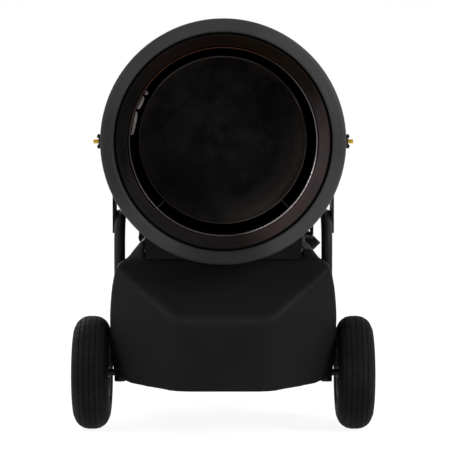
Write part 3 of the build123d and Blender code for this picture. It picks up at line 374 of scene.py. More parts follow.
def plate_weld(name, side, rise):
    """The bead between a pivot plate and the rail, which it follows round the bend at this rise."""
    x = side * (PLATE_X - BEAD_SUNK)
    bend_y, bend_z = AXLE_Y + RAIL_BEND, RAIL_Z - RAIL_BEND
    radius = RAIL_BEND + rise
    first = math.acos((PLATE_EDGES_Y[0] - bend_y) / RAIL_BEND)
    path = []
    for step in range(BEND_STEPS):
        turn = first + (math.pi / 2 - first) * step / BEND_STEPS
        path.append(Vector((x, bend_y + radius * math.cos(turn), bend_z + radius * math.sin(turn))))
    straight = PLATE_EDGES_Y[1] - bend_y
    for step in range(STRAIGHT_STEPS + 1):
        path.append(Vector((x, bend_y + straight * step / STRAIGHT_STEPS, RAIL_Z + rise)))
    bead(name, path, outward=Vector((side, 0, 0)))


lean_back = Vector((0, HIGH_TUBE_Y - LOW_TUBE_Y, RAIL_Z - LOWER_RAIL_Z))
for word, side in SIDES:
    rail = (side * TUBE_X, AXLE_Y, LOWER_RAIL_Z)
    weld(f"weld_lower_rail_{word}", rail, (0, 1, 0), (0, 0, 1), BRACE_R, TUBE_R)
    low = (side * TUBE_X, LOW_TUBE_Y, LOWER_RAIL_Z)
    weld(f"weld_low_tube_{word}", low, (-side, 0, 0), (0, 1, 0), LADDER_R, BRACE_R)
    high = (side * TUBE_X, HIGH_TUBE_Y, RAIL_Z)
    weld(f"weld_high_tube_{word}", high, (-side, 0, 0), (0, 1, 0), LADDER_R, TUBE_R)
    post_foot = (side * POST_X, LOW_TUBE_Y, LOWER_RAIL_Z)
    weld(f"weld_post_foot_{word}", post_foot, lean_back, (1, 0, 0), POST_R, LADDER_R)
    post_top = (side * POST_X, HIGH_TUBE_Y, RAIL_Z)
    weld(f"weld_post_top_{word}", post_top, -lean_back, (1, 0, 0), POST_R, LADDER_R)
    for edge, rise in (("upper", PLATE_WELD_RISE), ("lower", -PLATE_WELD_RISE)):
        plate_weld(f"weld_plate_{edge}_{word}", side, rise)

# ---- grips and feet ----
# Two ribbed rubber sleeves are pushed onto the handle's cross bar, and two rubber saddles under
# the stand's cross bar carry the rear.
soft_rubber = powder_coat("soft_rubber", (0.006, 0.006, 0.006), (0.011, 0.011, 0.011), 0.7,
                          peel=0.00015, specular=0.06)
dress(soft_rubber, "stand_feet", "cap_seal")


def turned_rings(profile, origin, axis, radial, steps):
    """Rings of points round an axis, from a profile of (distance along it, radius)."""
    origin, axis, radial = Vector(origin), Vector(axis).normalized(), Vector(radial).normalized()
    radial = (radial - axis * radial.dot(axis)).normalized()
    other = axis.cross(radial)
    rings = []
    for along, radius in profile:
        ring = []
        for step in range(steps):
            turn = 2 * math.pi * step / steps
            out = radial * math.cos(turn) + other * math.sin(turn)
            ring.append(origin + axis * along + out * radius)
        rings.append(ring)
    return rings


GRIP_R = 0.017
GRIP_ENDS = (0.045, 0.15)
GRIP_RIBS = 17
GRIP_LIP = 0.001
PLAIN_END = 0.004  # each end of a sleeve has no ribs this far
RIB_PROFILE = ((0.0, 0.0), (0.12, 0.0014), (0.4, 0.0016), (0.55, 0.0))  # share of the pitch, depth
GRIP_STEPS = 48
bar_y, bar_z = ((low + high) / 2 for low, high in list(zip(*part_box("handle_grips")))[1:])
grip_near, grip_far = GRIP_ENDS
rib_pitch = (grip_far - grip_near - 2 * PLAIN_END) / GRIP_RIBS
grip_profile = [(grip_near, TUBE_R), (grip_near, GRIP_R - GRIP_LIP), (grip_near + GRIP_LIP, GRIP_R)]
for rib in range(GRIP_RIBS):
    start = grip_near + PLAIN_END + rib * rib_pitch
    grip_profile += [(start + share * rib_pitch, GRIP_R - depth) for share, depth in RIB_PROFILE]
grip_profile += [(grip_far - GRIP_LIP, GRIP_R), (grip_far, GRIP_R - GRIP_LIP), (grip_far, TUBE_R)]
for word, side in SIDES:
    rings = turned_rings(grip_profile, (0, bar_y, bar_z), (side, 0, 0), (0, 0, 1), GRIP_STEPS)
    grip = make_piece(f"grip_{word}", *skin(rings, along=True), soft_rubber, "chassis", "black_rubber")
    if side > 0:
        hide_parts("handle_grips")

# ---- wheels ----
# Air-filled tyres of black rubber with a rounded crown, five fine grooves and short edge cuts,
# on pressed steel rims that are painted black. Each wheel runs on two ball bearings.
WHEEL_X = 0.3015
AXLE_Z = 0.13
TYRE_R = 0.13
TYRE_BORE = 0.052
TYRE_HALF_W = 0.0425
SHOULDER = (0.033, 0.117)  # distance from the tyre's middle, radius
BULGE = (0.0423, 0.081)
BORE_EDGE = (0.029, TYRE_BORE)
TYRE_STEPS = 540
SIPE_STEPS = 6
GROOVES = (-0.0235, -0.0125, 0.0, 0.0125, 0.0235)
GROOVE_HALF_W = 0.0009
GROOVE_DEPTH = 0.0017
SIPE_DEPTH = 0.0014
CROWN_POWER = 2.7
ZIGZAG = 0.0008
RIB_ROWS = (0.0035, 0.0062, 0.009, 0.0155, 0.018, 0.0205, 0.0268, 0.0292, 0.0315)
INNER_SIPES = (0.003, 0.0095)
OUTER_SIPES = 0.026
NOTCH_DEPTH = 0.0012
NOTCH_BAND = (0.106, 0.1165)
SIDEWALL_LINES = (0.062, 0.066, 0.101)
LINE_HALF_W = 0.0009
LINE_RISE = 0.0006
TYRE_SHARP = 38  # edges sharper than this many degrees stay sharp
tyre_rubber = powder_coat("tyre_black", (0.0072, 0.0072, 0.0073), (0.0135, 0.0133, 0.013), 0.7,
                          peel=0.0002, specular=0.06)
# the side that faces the tank is painted blacker: painted shade, where the tank and frame keep light off it
inner_sidewall_painted_shade = abs(tyre_rubber.axes()[0]).between(WHEEL_X - 0.026, WHEEL_X - 0.036)
tyre_rubber.set("Base Color", tyre_rubber.mix(inner_sidewall_painted_shade, tyre_rubber.colour, (0.0022, 0.0022, 0.0022)))


def arc(start, through, end, steps):
    """Points on the circle from start by way of another point to end; the ends are included."""
    (ax, ay), (bx, by), (cx, cy) = start, through, end
    d = 2 * (ax * (by - cy) + bx * (cy - ay) + cx * (ay - by))
    a2, b2, c2 = ax**2 + ay**2, bx**2 + by**2, cx**2 + cy**2
    ux = (a2 * (by - cy) + b2 * (cy - ay) + c2 * (ay - by)) / d
    uy = (a2 * (cx - bx) + b2 * (ax - cx) + c2 * (bx - ax)) / d
    first, middle, last = (math.atan2(y - uy, x - ux) for x, y in (start, through, end))
    sweep = (last - first) % (2 * math.pi)
    if (middle - first) % (2 * math.pi) > sweep:
        sweep -= 2 * math.pi
    radius = math.hypot(ax - ux, ay - uy)
    turns = [first + sweep * step / steps for step in range(steps + 1)]
    return [(ux + radius * math.cos(turn), uy + radius * math.sin(turn)) for turn in turns]


sidewall = []
for x, r in arc(SHOULDER, BULGE, BORE_EDGE, 44):
    raised = max(0.0, *(1 - abs(r - line_r) / LINE_HALF_W for line_r in SIDEWALL_LINES))
    sidewall.append((min(x + LINE_RISE * raised, TYRE_HALF_W), r))
tread = sorted(
    [side * x for side in (-1, 1) for x in RIB_ROWS]
    + [groove + share * GROOVE_HALF_W for groove in GROOVES for share in (-1.6, -0.9, 0.0, 0.9, 1.6)]
)


def tyre_ring(step):
    """The tyre's section at one step round the wheel, as (distance from its middle, radius)."""
    wave = abs((step / SIPE_STEPS) % 2 - 1) * 2 - 1
    cut = step % SIPE_STEPS == 0
    section = [(-x, r) for x, r in reversed(sidewall)]
    for x in tread:
        crown = TYRE_R - (TYRE_R - SHOULDER[1]) * abs(x / SHOULDER[0]) ** CROWN_POWER
        in_groove = any(abs(x - groove) < GROOVE_HALF_W for groove in GROOVES)
        in_sipe = cut and (INNER_SIPES[0] < abs(x) < INNER_SIPES[1] or OUTER_SIPES < abs(x))
        depth = GROOVE_DEPTH if in_groove else SIPE_DEPTH if in_sipe else 0.0
        section.append((x + ZIGZAG * wave * (1 - abs(x / SHOULDER[0]) ** 6), crown - depth))
    section += sidewall
    if cut:
        low, high = NOTCH_BAND
        section = [(x - math.copysign(NOTCH_DEPTH, x) if low < r < high else x, r) for x, r in section]
    return section


def tyre(word, side):
    """One tyre, as closed sections all round its wheel."""
    middle = Vector((side * WHEEL_X, AXLE_Y, AXLE_Z))
    rings = []
    for step in range(TYRE_STEPS):
        turn = 2 * math.pi * step / TYRE_STEPS
        out = Vector((0, math.cos(turn), math.sin(turn)))
        rings.append([middle + out * r + Vector((x, 0, 0)) for x, r in tyre_ring(step)])
    made = make_piece(f"{word}_tyre", *skin(rings, along=True), tyre_rubber, f"wheel_{word}", "tyre_rubber")
    made.data.set_sharp_from_angle(angle=math.radians(TYRE_SHARP))
    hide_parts(f"tyre_{word}")


for word, side in SIDES:
    tyre(word, side)

rim_paint = powder_coat("rim_gloss", (0.005, 0.005, 0.005), (0.009, 0.009, 0.009), 0.45, specular=0.12)
dress(rim_paint, "rim_left", "rim_right")


def plated(name, colour, roughness=0.3):
    """Plated steel, a little cloudy, with fine turning marks."""
    metal = Finish(name, roughness, metallic=1.0)
    darker = tuple(0.6 * part for part in colour)
    metal.colour = metal.mix(metal.noise(60, 4).between(0.35, 0.7), darker, colour)
    metal.set("Base Color", metal.colour)
    metal.set("Roughness", metal.noise(200, 3) * 0.25 + (roughness - 0.1))
    metal.relief(metal.noise(900, 2), 0.00003)
    return metal


zinc = plated("zinc", (0.45, 0.46, 0.48))
dark_steel = plated("dark_steel", (0.035, 0.035, 0.037), 0.5)
brass = plated("brass", (0.62, 0.42, 0.16), 0.3)
dress(zinc, "bearings_left", "bearings_right", "axle_hardware")
dress(dark_steel, "axle")

# the valve leans out of the rim's dish: a rubber stem with a brass neck and a cap
VALVE_FOOT_R = 0.047
VALVE_FOOT_X = WHEEL_X + 0.018
VALVE_STEPS = 24
STEM = [(0, 0), (0, 0.0062), (0.003, 0.006), (0.012, 0.0044), (0.02, 0.0042), (0.02, 0)]
NECK = [(0.02, 0), (0.02, 0.0032), (0.026, 0.0032), (0.026, 0)]
CAP = [(0.024, 0), (0.024, 0.0042), (0.033, 0.0042), (0.034, 0.0034), (0.034, 0)]
VALVE_PARTS = (
    ("stem", soft_rubber, "black_rubber", STEM),
    ("neck", brass, "yellow_zinc", NECK),
    ("cap", soft_rubber, "black_plastic", CAP),
)
for word, side in SIDES:
    for part, finish, slot, profile in VALVE_PARTS:
        foot = (side * VALVE_FOOT_X, AXLE_Y + VALVE_FOOT_R * 0.5, AXLE_Z + VALVE_FOOT_R * 0.72)
        lean = (side * 0.55, -0.45, -0.65)
        rings = turned_rings(profile, foot, lean, (0, 0.8, -0.55), VALVE_STEPS)
        make_piece(f"valve_{part}_{word}", *skin(rings), finish, f"wheel_{word}", slot)

# ---- frame bolts and plugs ----
# Blackened steel bolts hold the tank's straps and the cabinet's brackets, and black plastic plugs
# close the tubes' open ends at the bottom and the rear.
bolt_steel = plated("bolt_steel", (0.06, 0.06, 0.065), 0.45)
x, y, z = bolt_steel.axes()
plug = z.between(0.126, 0.124) + y.between(0.358, 0.36)
bolt_steel.set("Metallic", 1 - plug)
bolt_steel.set("Base Color", bolt_steel.mix(plug, bolt_steel.colour, (0.008, 0.008, 0.008)))
dress(bolt_steel, "frame_bolts")

# ---- fuel tank ----
# One hollow moulding of black polyethylene, with soft edges, a fine grain and faint scuffs. It
# sits on two straps between the rails, and its front bulges past the tubes.
TANK_FRONT_Y = -0.505
TANK_REAR_Y = 0.085
TANK_BOTTOM_Z = 0.1065
TANK_REAR_BOTTOM_Z = 0.111
TANK_TOP_Z = 0.393
TANK_CREASE_Z = 0.264
TANK_HALF_W = 0.2592
TANK_REAR_HALF_W = 0.221
BUMP_REAR_Y = AXLE_Y - TUBE_R - 0.009
SLOPE_END_Y = -0.385
VOXEL = 0.0045
SMOOTHING = 12
CHANNEL = ((-0.346, 0.05), (-0.314, 0.05), (-0.314, 0.146), (-0.346, 0.146))  # Y and Z, for the axle


def rounded(corners, bends, steps=8):
    """Points of a closed outline whose corners are rounded."""
    points = []
    for index, corner in enumerate(corners):
        here = Vector(corner)
        before = Vector(corners[index - 1]) - here
        after = Vector(corners[(index + 1) % len(corners)]) - here
        reach = bends[index] / math.tan(before.angle(after) / 2)
        start = here + before.normalized() * reach
        end = here + after.normalized() * reach
        for step in range(steps + 1):
            t = step / steps
            points.append(start * (1 - t) ** 2 + here * (2 * t * (1 - t)) + end * t**2)
    return points


def prism(name, outline, place, near, far):
    """Closed solid: an outline run from near to far; place(u, v, w) gives the point."""
    count = len(outline)
    points = [place(u, v, w) for w in (near, far) for u, v in outline]
    faces = [tuple(range(count)), tuple(reversed(range(count, 2 * count)))]
    faces += [(i, i + count, (i + 1) % count + count, (i + 1) % count) for i in range(count)]
    mesh = bpy.data.meshes.new(name)
    mesh.from_pydata(points, [], faces)
    if sum(face.center.dot(face.normal) * face.area for face in mesh.polygons) < 0:
        mesh.flip_normals()
    made = bpy.data.objects.new(name, mesh)
    bpy.context.scene.collection.objects.link(made)
    return made


def mirrored_outline(right):
    """The outline's right half, followed by its mirror image."""
    return right + [(-u, v) for u, v in reversed(right)]


front_right = [(0.108, TANK_BOTTOM_Z), (0.214, 0.1155), (0.249, 0.133), (0.2555, 0.185)]
front_right += [(TANK_HALF_W, 0.265), (0.2545, 0.325), (0.2425, 0.385), (0.196, 0.41)]
front_right += [(0.19, TANK_TOP_Z + 0.04)]
front_bends = [0.6, 0.1, 0.03, 0.2, 0.3, 0.3, 0.045, 0.01, 0.001]
plan_right = [(0.104, TANK_FRONT_Y), (0.212, -0.424), (TANK_HALF_W, -0.382), (TANK_HALF_W, BUMP_REAR_Y)]
plan_right += [(TANK_REAR_HALF_W, BUMP_REAR_Y), (TANK_REAR_HALF_W, TANK_REAR_Y)]
plan_bends = [0.09, 0.2, 0.03, 0.012, 0.001, 0.026]
side_outline = [(TANK_FRONT_Y, TANK_BOTTOM_Z), (TANK_FRONT_Y, TANK_CREASE_Z), (SLOPE_END_Y, TANK_TOP_Z)]
side_outline += [(TANK_REAR_Y, TANK_TOP_Z), (TANK_REAR_Y, TANK_REAR_BOTTOM_Z)]
front_points = rounded(mirrored_outline(front_right), front_bends + front_bends[::-1])
plan_points = rounded(mirrored_outline(plan_right), plan_bends + plan_bends[::-1])
side_bends = [0.002, 0.014, 0.02, 0.02, 0.02]
side_points = rounded(side_outline, side_bends)

form = prism("tank_form", front_points, lambda u, v, w: (u, w, v), -0.6, 0.6)
cutters = [
    ("INTERSECT", prism("tank_plan", plan_points, lambda u, v, w: (u, v, w), 0.05, 0.55)),
    ("INTERSECT", prism("tank_side", side_points, lambda u, v, w: (w, u, v), -0.4, 0.4)),
]
SHOULDERS = (
    # side, rise, lean of the outer side, inner X, front Y, rear Y
    (-1, 0.045, 0.038, 0.18, -0.368, 0.06),
    (1, 0.024, 0.019, 0.18, -0.368, -0.06),
    (1, 0.041, 0.041, 0.1, -0.06, 0.06),
)
for side, rise, lean, inner, near, far in SHOULDERS:
    root = TANK_TOP_Z - 0.02
    outline = [(inner, root), (TANK_REAR_HALF_W, root), (TANK_REAR_HALF_W, TANK_TOP_Z)]
    outline += [(TANK_REAR_HALF_W - lean, TANK_TOP_Z + rise), (inner, TANK_TOP_Z + rise)]
    outline = [Vector((side * u, v)) for u, v in outline]
    cutters.append(("UNION", prism("shoulder", outline, lambda u, v, w: (u, w, v), near, far)))
channel = [Vector(corner) for corner in CHANNEL]
cutters.append(("DIFFERENCE", prism("axle_channel", channel, lambda u, v, w: (w, u, v), -0.3, 0.3)))
for operation, cutter in cutters:
    modifier = form.modifiers.new(operation, "BOOLEAN")
    modifier.operation = operation
    modifier.object = cutter
    modifier.solver = "EXACT"
remesh = form.modifiers.new("remesh", "REMESH")
remesh.mode = "VOXEL"
remesh.voxel_size = VOXEL
soften = form.modifiers.new("soften", "SMOOTH")
soften.factor = 0.5
soften.iterations = SMOOTHING
moulded = bpy.data.meshes.new_from_object(form.evaluated_get(bpy.context.evaluated_depsgraph_get()))
for solid in [form] + [cutter for operation, cutter in cutters]:
    bpy.data.objects.remove(solid)

# the crease across the front is painted paler: a painted highlight where the slope meets the swept front
tank_plastic = Finish("tank_polyethylene", 0.55, specular=0.06)
scuffs = tank_plastic.noise(26, 6, 0.7, stretch=(1, 1, 3.5)).between(0.6, 0.82)
blush = tank_plastic.noise(4, 3).between(0.3, 0.75)
tone = tank_plastic.mix(blush, (0.0085, 0.0085, 0.0085), (0.0115, 0.0115, 0.0115))
tone = tank_plastic.mix(scuffs * 0.3, tone, (0.018, 0.018, 0.018))
x, y, z = tank_plastic.axes()
CREASE_HIGHLIGHT_REACH = 0.016
LEFT_SHOULDER = (-0.165, -0.19)
(front_x, front_y), (swept_x, swept_y) = plan_right[:2]
slope = (TANK_TOP_Z - TANK_CREASE_Z) / (SLOPE_END_Y - TANK_FRONT_Y)
sweep = (swept_y - front_y) / (swept_x - front_x)
behind = y - TANK_FRONT_Y
off_slope = z - TANK_CREASE_Z - behind * slope
beyond = abs(x) - front_x
off_front = behind - beyond.maths("MAXIMUM", beyond, 0.0) * sweep
crease_painted_highlight = off_slope.near(0.0, CREASE_HIGHLIGHT_REACH) * off_front.near(0.0, CREASE_HIGHLIGHT_REACH)
crease_painted_highlight = crease_painted_highlight * z.between(TANK_TOP_Z - 0.02, TANK_CREASE_Z + 0.02)
# the raised left shoulder is painted paler: painted light on its upward faces
left_shoulder_painted_light = x.between(*LEFT_SHOULDER) * z.between(TANK_TOP_Z - 0.008, TANK_TOP_Z + 0.004)
tone = tank_plastic.mix(left_shoulder_painted_light, tone, (0.028, 0.028, 0.028))
tank_plastic.set("Base Color", tank_plastic.mix(crease_painted_highlight * 0.7, tone, (0.019, 0.019, 0.019)))
tank_plastic.set("Roughness", tank_plastic.noise(40, 4) * 0.2 + 0.46)
tank_plastic.relief(tank_plastic.noise(900, 2), 0.00012)
tank_points = [vertex.co for vertex in moulded.vertices]
tank_faces = [tuple(face.vertices) for face in moulded.polygons]
tank = make_piece("tank_moulding", tank_points, tank_faces, tank_plastic, "chassis", "tank_plastic")
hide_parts("fuel_tank")

# the cap, the filler neck and the drain plug are harder mouldings; the pick-up is dull plated tube
black_plastic = powder_coat("black_plastic", (0.004, 0.004, 0.004), (0.0065, 0.0065, 0.0065), 0.5,
                            peel=0.00008, specular=0.07)
dress(black_plastic, "fuel_cap", "filler_neck", "drain_plug")
dull_zinc = plated("dull_zinc", (0.08, 0.08, 0.085), 0.6)
dress(dull_zinc, "pickup_tube")

# ---- tank shield ----
# A folded sheet with a saddle under the drum keeps the head's heat off the tank. It is
# powder-coated black and held by small zinc screws.
sheet_coat = powder_coat("sheet_coat", (0.0055, 0.0055, 0.0056), (0.009, 0.009, 0.009), 0.5, specular=0.08)
dress(sheet_coat, "tank_shield")

# ---- head pivots ----
# Yellow-plated bolts through the side plates carry the head. Fibre and steel washers and a wing
# nut clamp each side, so that the head stays where it is tilted.
yellow_zinc = plated("yellow_zinc", (0.78, 0.5, 0.07), 0.22)
fibre = powder_coat("fibre", (0.02, 0.014, 0.01), (0.035, 0.025, 0.018), 0.7)
dress(yellow_zinc, "pivot_bolts")
dress(dark_steel, "wing_nut_left", "wing_nut_right")
dress(fibre, "friction_washers")

# ---- bell and drum ----
# The bell is spun sheet steel, rolled in at the front, in charcoal heat-proof paint that the heat
# has dulled unevenly; its colour is painted lighter at the upper and lower right as painted light,
# and darker at the left and at the bottom as painted shade. The drum behind it and the burner's
# casing are in the same paint, darker.
HEAD_Z = 0.661


class HeadFinish(Finish):
    """A finish laid out round the head's axis."""

    def __init__(self, name, roughness, metallic=0.0, specular=0.3, shift=(0.0, 0.0)):
        super().__init__(name, roughness, metallic, specular)
        x, self.depth, z = self.axes()
        across = x - shift[0]
        upward = z - (HEAD_Z + shift[1])
        self.radius = (across * across + upward * upward) ** 0.5
        self.across = across / self.radius
        self.upward = upward / self.radius

    def toward(self, degrees):
        """1 on the ray from the axis in this direction, 0 square to it, -1 on the far side."""
        angle = math.radians(degrees)
        return self.across * math.cos(angle) + self.upward * math.sin(angle)


bell = HeadFinish("bell_charcoal", 0.5, specular=0.12)
tone = bell.mix(bell.noise(9, 4).between(0.35, 0.7), (0.037, 0.037, 0.0368), (0.043, 0.043, 0.0428))
# painted light on the upper and lower right, painted shade on the left and at the bottom
tone = bell.mix(bell.toward(40).between(0.75, 0.98) * 0.7, tone, (0.062, 0.062, 0.0617))
tone = bell.mix(bell.toward(-40).between(0.8, 0.98) * 0.6, tone, (0.062, 0.062, 0.0617))
tone = bell.mix(bell.toward(185).between(0.8, 1.0) * 0.6, tone, (0.014, 0.014, 0.014))
tone = bell.mix(bell.toward(270).between(0.86, 1.0) * 0.75, tone, (0.012, 0.012, 0.012))
bell.set("Base Color", bell.mix(bell.noise(420, 2).between(0.55, 0.75) * 0.3, tone, (0.055, 0.055, 0.055)))
bell.set("Roughness", bell.noise(30, 3) * 0.16 + 0.42)
bell.relief(bell.noise(650, 2), 0.00008)
dress(bell, "front_bell")
drum_coat = powder_coat("drum_coat", (0.026, 0.026, 0.0262), (0.034, 0.034, 0.0338), 0.5, specular=0.14)
dress(drum_coat, "drum_shell", "drum_back", "burner_casing", "rear_grille")

# ---- reflector cone ----
# Bare stainless sheet between the bell and the chamber. The heat has tinted it: brown and
# copper above, pink-brown on the right, violet-grey below. Its right side is painted pale, partly
# cleaner steel and partly painted light, and its left side is painted dark as painted shade.
cone = HeadFinish("cone_heat_tint", 0.36, metallic=0.9)
blotch = cone.noise(22, 5, 0.6)
# the right side is painted pale, partly cleaner steel and partly painted light; the left is painted dark as
# painted shade
cleaner_steel_and_painted_light = cone.toward(-24).between(0.5, 0.95)
violet = cone.toward(215).between(0.1, 0.9)
shaded = cone.toward(172).between(0.78, 0.98)
golden = cone.toward(62).between(0.82, 1.0)
sooted = cone.mix(blotch.between(0.35, 0.65), (0.078, 0.046, 0.037), (0.062, 0.049, 0.047))
sooted = cone.mix(violet, sooted, (0.082, 0.074, 0.079))
sooted = cone.mix(shaded, sooted, (0.037, 0.035, 0.04))
sooted = cone.mix(golden * 0.5, sooted, (0.085, 0.057, 0.026))
clean = cone.mix(blotch.between(0.4, 0.62), (0.38, 0.26, 0.235), (0.31, 0.265, 0.29))
tone = cone.mix(cleaner_steel_and_painted_light * (blotch * 0.5 + 0.7), sooted, clean)
edge = cone.depth.between(-0.462, -0.446)
tone = cone.mix(edge * 0.35, tone, (0.12, 0.058, 0.036))
# the curled rim is painted near black: painted shade in the gap between the cone and the bell
curl_painted_shade = cone.radius.between(0.2318, 0.235)
cone.set("Base Color", cone.mix(curl_painted_shade, tone, (0.0045, 0.0042, 0.004)))
cone.set("Roughness", cone.noise(14, 3) * 0.2 + 0.3 + curl_painted_shade * 0.35)
cone.relief(cone.noise(60, 3, 0.5, stretch=(1, 6, 1)), 0.00012)
dress(cone, "reflector_cone")

# ---- combustion chamber and heat disc ----
# The chamber's stainless wall ends in a rolled lip, painted paler towards the lower right as painted
# light and bright there as a painted highlight. A dished steel disc stands in its mouth on eight pins,
# and the flame heats it from behind. It is black with soot but for its rolled edge; the lower right
# of its face is painted lighter as painted light.
chamber = HeadFinish("chamber_heat_tint", 0.3, metallic=1.0)
smoke = chamber.noise(30, 4, 0.6)
lip = 1 - chamber.depth.between(-0.4398, -0.4375)
# the lip is painted paler towards the lower right as painted light, with a bright painted highlight there
lip_painted_light = chamber.toward(-50).between(-0.4, 0.5)
lip_painted_highlight = chamber.toward(-44).between(0.8, 0.985)
copper = chamber.toward(105).between(0.3, 0.95)
lip_tone = chamber.mix(lip_painted_light, (0.03, 0.025, 0.025), (0.12, 0.105, 0.11))
lip_tone = chamber.mix(lip_painted_highlight, lip_tone, (0.62, 0.56, 0.58))
lip_tone = chamber.mix(copper, lip_tone, (0.036, 0.016, 0.01))
wall_tone = chamber.mix(smoke.between(0.4, 0.7), (0.036, 0.028, 0.025), (0.1, 0.076, 0.07))
wall_tone = chamber.mix(chamber.toward(90).between(0.75, 0.97), wall_tone, (0.02, 0.018, 0.018))
# a bright patch at the left, bare steel and a painted highlight, is cut by dark lines painted as the pins'
# shadows
bare_steel_and_painted_highlight = chamber.toward(160).between(0.955, 0.985) * (1 - lip)
for painted_pin_shadow in (149.5, 160, 177):
    bare_steel_and_painted_highlight = bare_steel_and_painted_highlight * (1 - chamber.toward(painted_pin_shadow).between(0.9988, 0.9996))
chamber.set("Base Color", chamber.mix(bare_steel_and_painted_highlight, chamber.mix(lip, wall_tone, lip_tone), (0.85, 0.8, 0.77)))
chamber.set("Roughness", (chamber.noise(18, 3) * 0.2 + 0.2) * (1 - bare_steel_and_painted_highlight * 0.55))
dress(chamber, "combustion_chamber")

# heat has buckled the wall inward behind the lip at the upper left, where it shines bare
buckled_steel = plated("buckled_steel", (0.12, 0.112, 0.108), 0.25)
WALL_R = 0.2088
BUCKLE_FRONT_Y = -0.4366
BUCKLE_RISE = 0.0098
BUCKLE_FOOT = 0.012  # the fold's foot runs back this far before it stands up
BUCKLE_LEAN = 0.55  # how far its front runs back for each metre that it rises
BUCKLE_TAIL = 0.02
WALL_BITE = 0.0008  # its rear side ends this deep in the wall
FOLD_STEPS = 8
BUCKLES = ((146.5, 149), (150.3, 159.3), (160.8, 176))  # where each starts and ends, in degrees


def buckle(name, start, end, steps=32):
    """One inward fold of the wall, steep in front and long behind, which fades out at its ends."""
    rings = []
    for step in range(steps + 1):
        share = step / steps
        rise = BUCKLE_RISE * max(0.0001, math.sin(math.pi * share)) ** 0.25
        turn = math.radians(start + (end - start) * share)
        out = Vector((math.cos(turn), 0, math.sin(turn)))
        crest = BUCKLE_FOOT + rise * BUCKLE_LEAN
        shares = [step_up / FOLD_STEPS for step_up in range(1, FOLD_STEPS + 1)]
        fold = [(0, 0)] + [(rise * t, BUCKLE_FOOT + rise * BUCKLE_LEAN * t) for t in shares[1:]]
        fold += [(rise * (1 - t**2) - WALL_BITE, crest + BUCKLE_TAIL * t) for t in shares]
        fold.append((-WALL_BITE, 0))
        middle = Vector((0, BUCKLE_FRONT_Y, HEAD_Z))
        rings.append([middle + out * (WALL_R - inward) + Vector((0, back, 0)) for inward, back in fold])
    points, faces = skin(rings)
    count = len(rings[0])
    faces += [tuple(reversed(range(count))), tuple(range(len(points) - count, len(points)))]
    make_piece(name, points, faces, buckled_steel, "head", "chamber_steel")


for number, (start, end) in enumerate(BUCKLES):
    buckle(f"wall_buckle_{number}", start, end)

DISC_SHIFT = (-0.001, 0.0038)
disc = HeadFinish("disc_soot", 0.75, specular=0.05, shift=DISC_SHIFT)
cloud = disc.noise(8, 8, 0.72)
wisps = disc.noise(26, 6, 0.7)
mottle = (cloud * 0.65 + wisps * 0.35).between(0.41, 0.6)
soot = disc.mix(mottle, (0.001, 0.001, 0.001), (0.0062, 0.0061, 0.006))
# the ring and the outer band towards the lower right are painted lighter: painted light
ring = disc.radius.between(0.118, 0.15) * disc.toward(-38).between(0.3, 0.95)
soot = disc.mix(ring * (wisps * 0.6 + 0.5), soot, (0.0125, 0.0115, 0.0105))
dark_band = disc.radius.between(0.06, 0.1) * disc.radius.between(0.175, 0.14)
dark_patch = dark_band * disc.toward(228).between(0.75, 0.97)
soot = disc.mix(dark_patch * (cloud * 0.6 + 0.5), soot, (0.001, 0.001, 0.001))
outer_band_painted_light = disc.radius.between(0.15, 0.18) * disc.toward(-38).between(0.5, 0.97)
soot = disc.mix(outer_band_painted_light * (wisps * 0.5 + 0.6), soot, (0.033, 0.0295, 0.0265))
scorch = disc.radius.between(0.168, 0.18)
soot = disc.mix(scorch * wisps.between(0.35, 0.65) * 0.6, soot, (0.014, 0.0085, 0.0065))
rolled = disc.radius.between(0.1835, 0.1855)
# the rolled edge is bare steel, painted brighter towards the upper right as a painted highlight
edge_painted_highlight = disc.toward(30).between(-0.75, 0.5) * 0.55 + 0.45
disc.set("Base Color", disc.mix(rolled * edge_painted_highlight, soot, (0.075, 0.064, 0.058)))
disc.set("Metallic", rolled * 0.35)
disc.set("Roughness", 0.8 - rolled * 0.42)
disc.relief(disc.noise(160, 4, 0.6), 0.0002)
dress(disc, "heat_disc")

# the disc's edge is rolled into a fine bead, painted lighter at the top and on the lower right, with two
# painted glints: painted highlights
edge_steel = HeadFinish("edge_steel", 0.4, specular=0.3, shift=DISC_SHIFT)
rolled_tone = edge_steel.mix(edge_steel.noise(30, 4), (0.012, 0.011, 0.01), (0.03, 0.027, 0.025))
rolled_tone = edge_steel.mix(edge_steel.toward(-42).between(0.6, 0.98), rolled_tone, (0.16, 0.14, 0.125))
rolled_tone = edge_steel.mix(edge_steel.toward(92).between(0.8, 0.98), rolled_tone, (0.1, 0.088, 0.08))
glint = edge_steel.toward(128).between(0.95, 0.99) * 0.6 + edge_steel.toward(27).between(0.985, 0.998)
edge_steel.set("Base Color", edge_steel.mix(glint, rolled_tone, (0.16, 0.15, 0.14)))
EDGE_MID_R = 0.187
EDGE_MID_Y = -0.413
EDGE_BEAD_R = 0.0016
EDGE_CORNERS = 16
EDGE_STEPS = 240
edge_profile = []
for corner in range(EDGE_CORNERS):
    turn = 2 * math.pi * corner / EDGE_CORNERS
    edge_y = EDGE_MID_Y + EDGE_BEAD_R * math.sin(turn)
    edge_profile.append((edge_y, EDGE_MID_R + EDGE_BEAD_R * math.cos(turn)))
disc_middle = (DISC_SHIFT[0], 0, HEAD_Z + DISC_SHIFT[1])
edge_rings = turned_rings(edge_profile, disc_middle, (0, 1, 0), (0, 0, 1), EDGE_STEPS)
make_piece("disc_bead", *skin(edge_rings, along=True), edge_steel, "head", "disc_steel")

scaled_steel = plated("scaled_steel", (0.035, 0.03, 0.028), 0.5)
dress(scaled_steel, "blast_tube", "nozzle_holder", "swirl_plate")

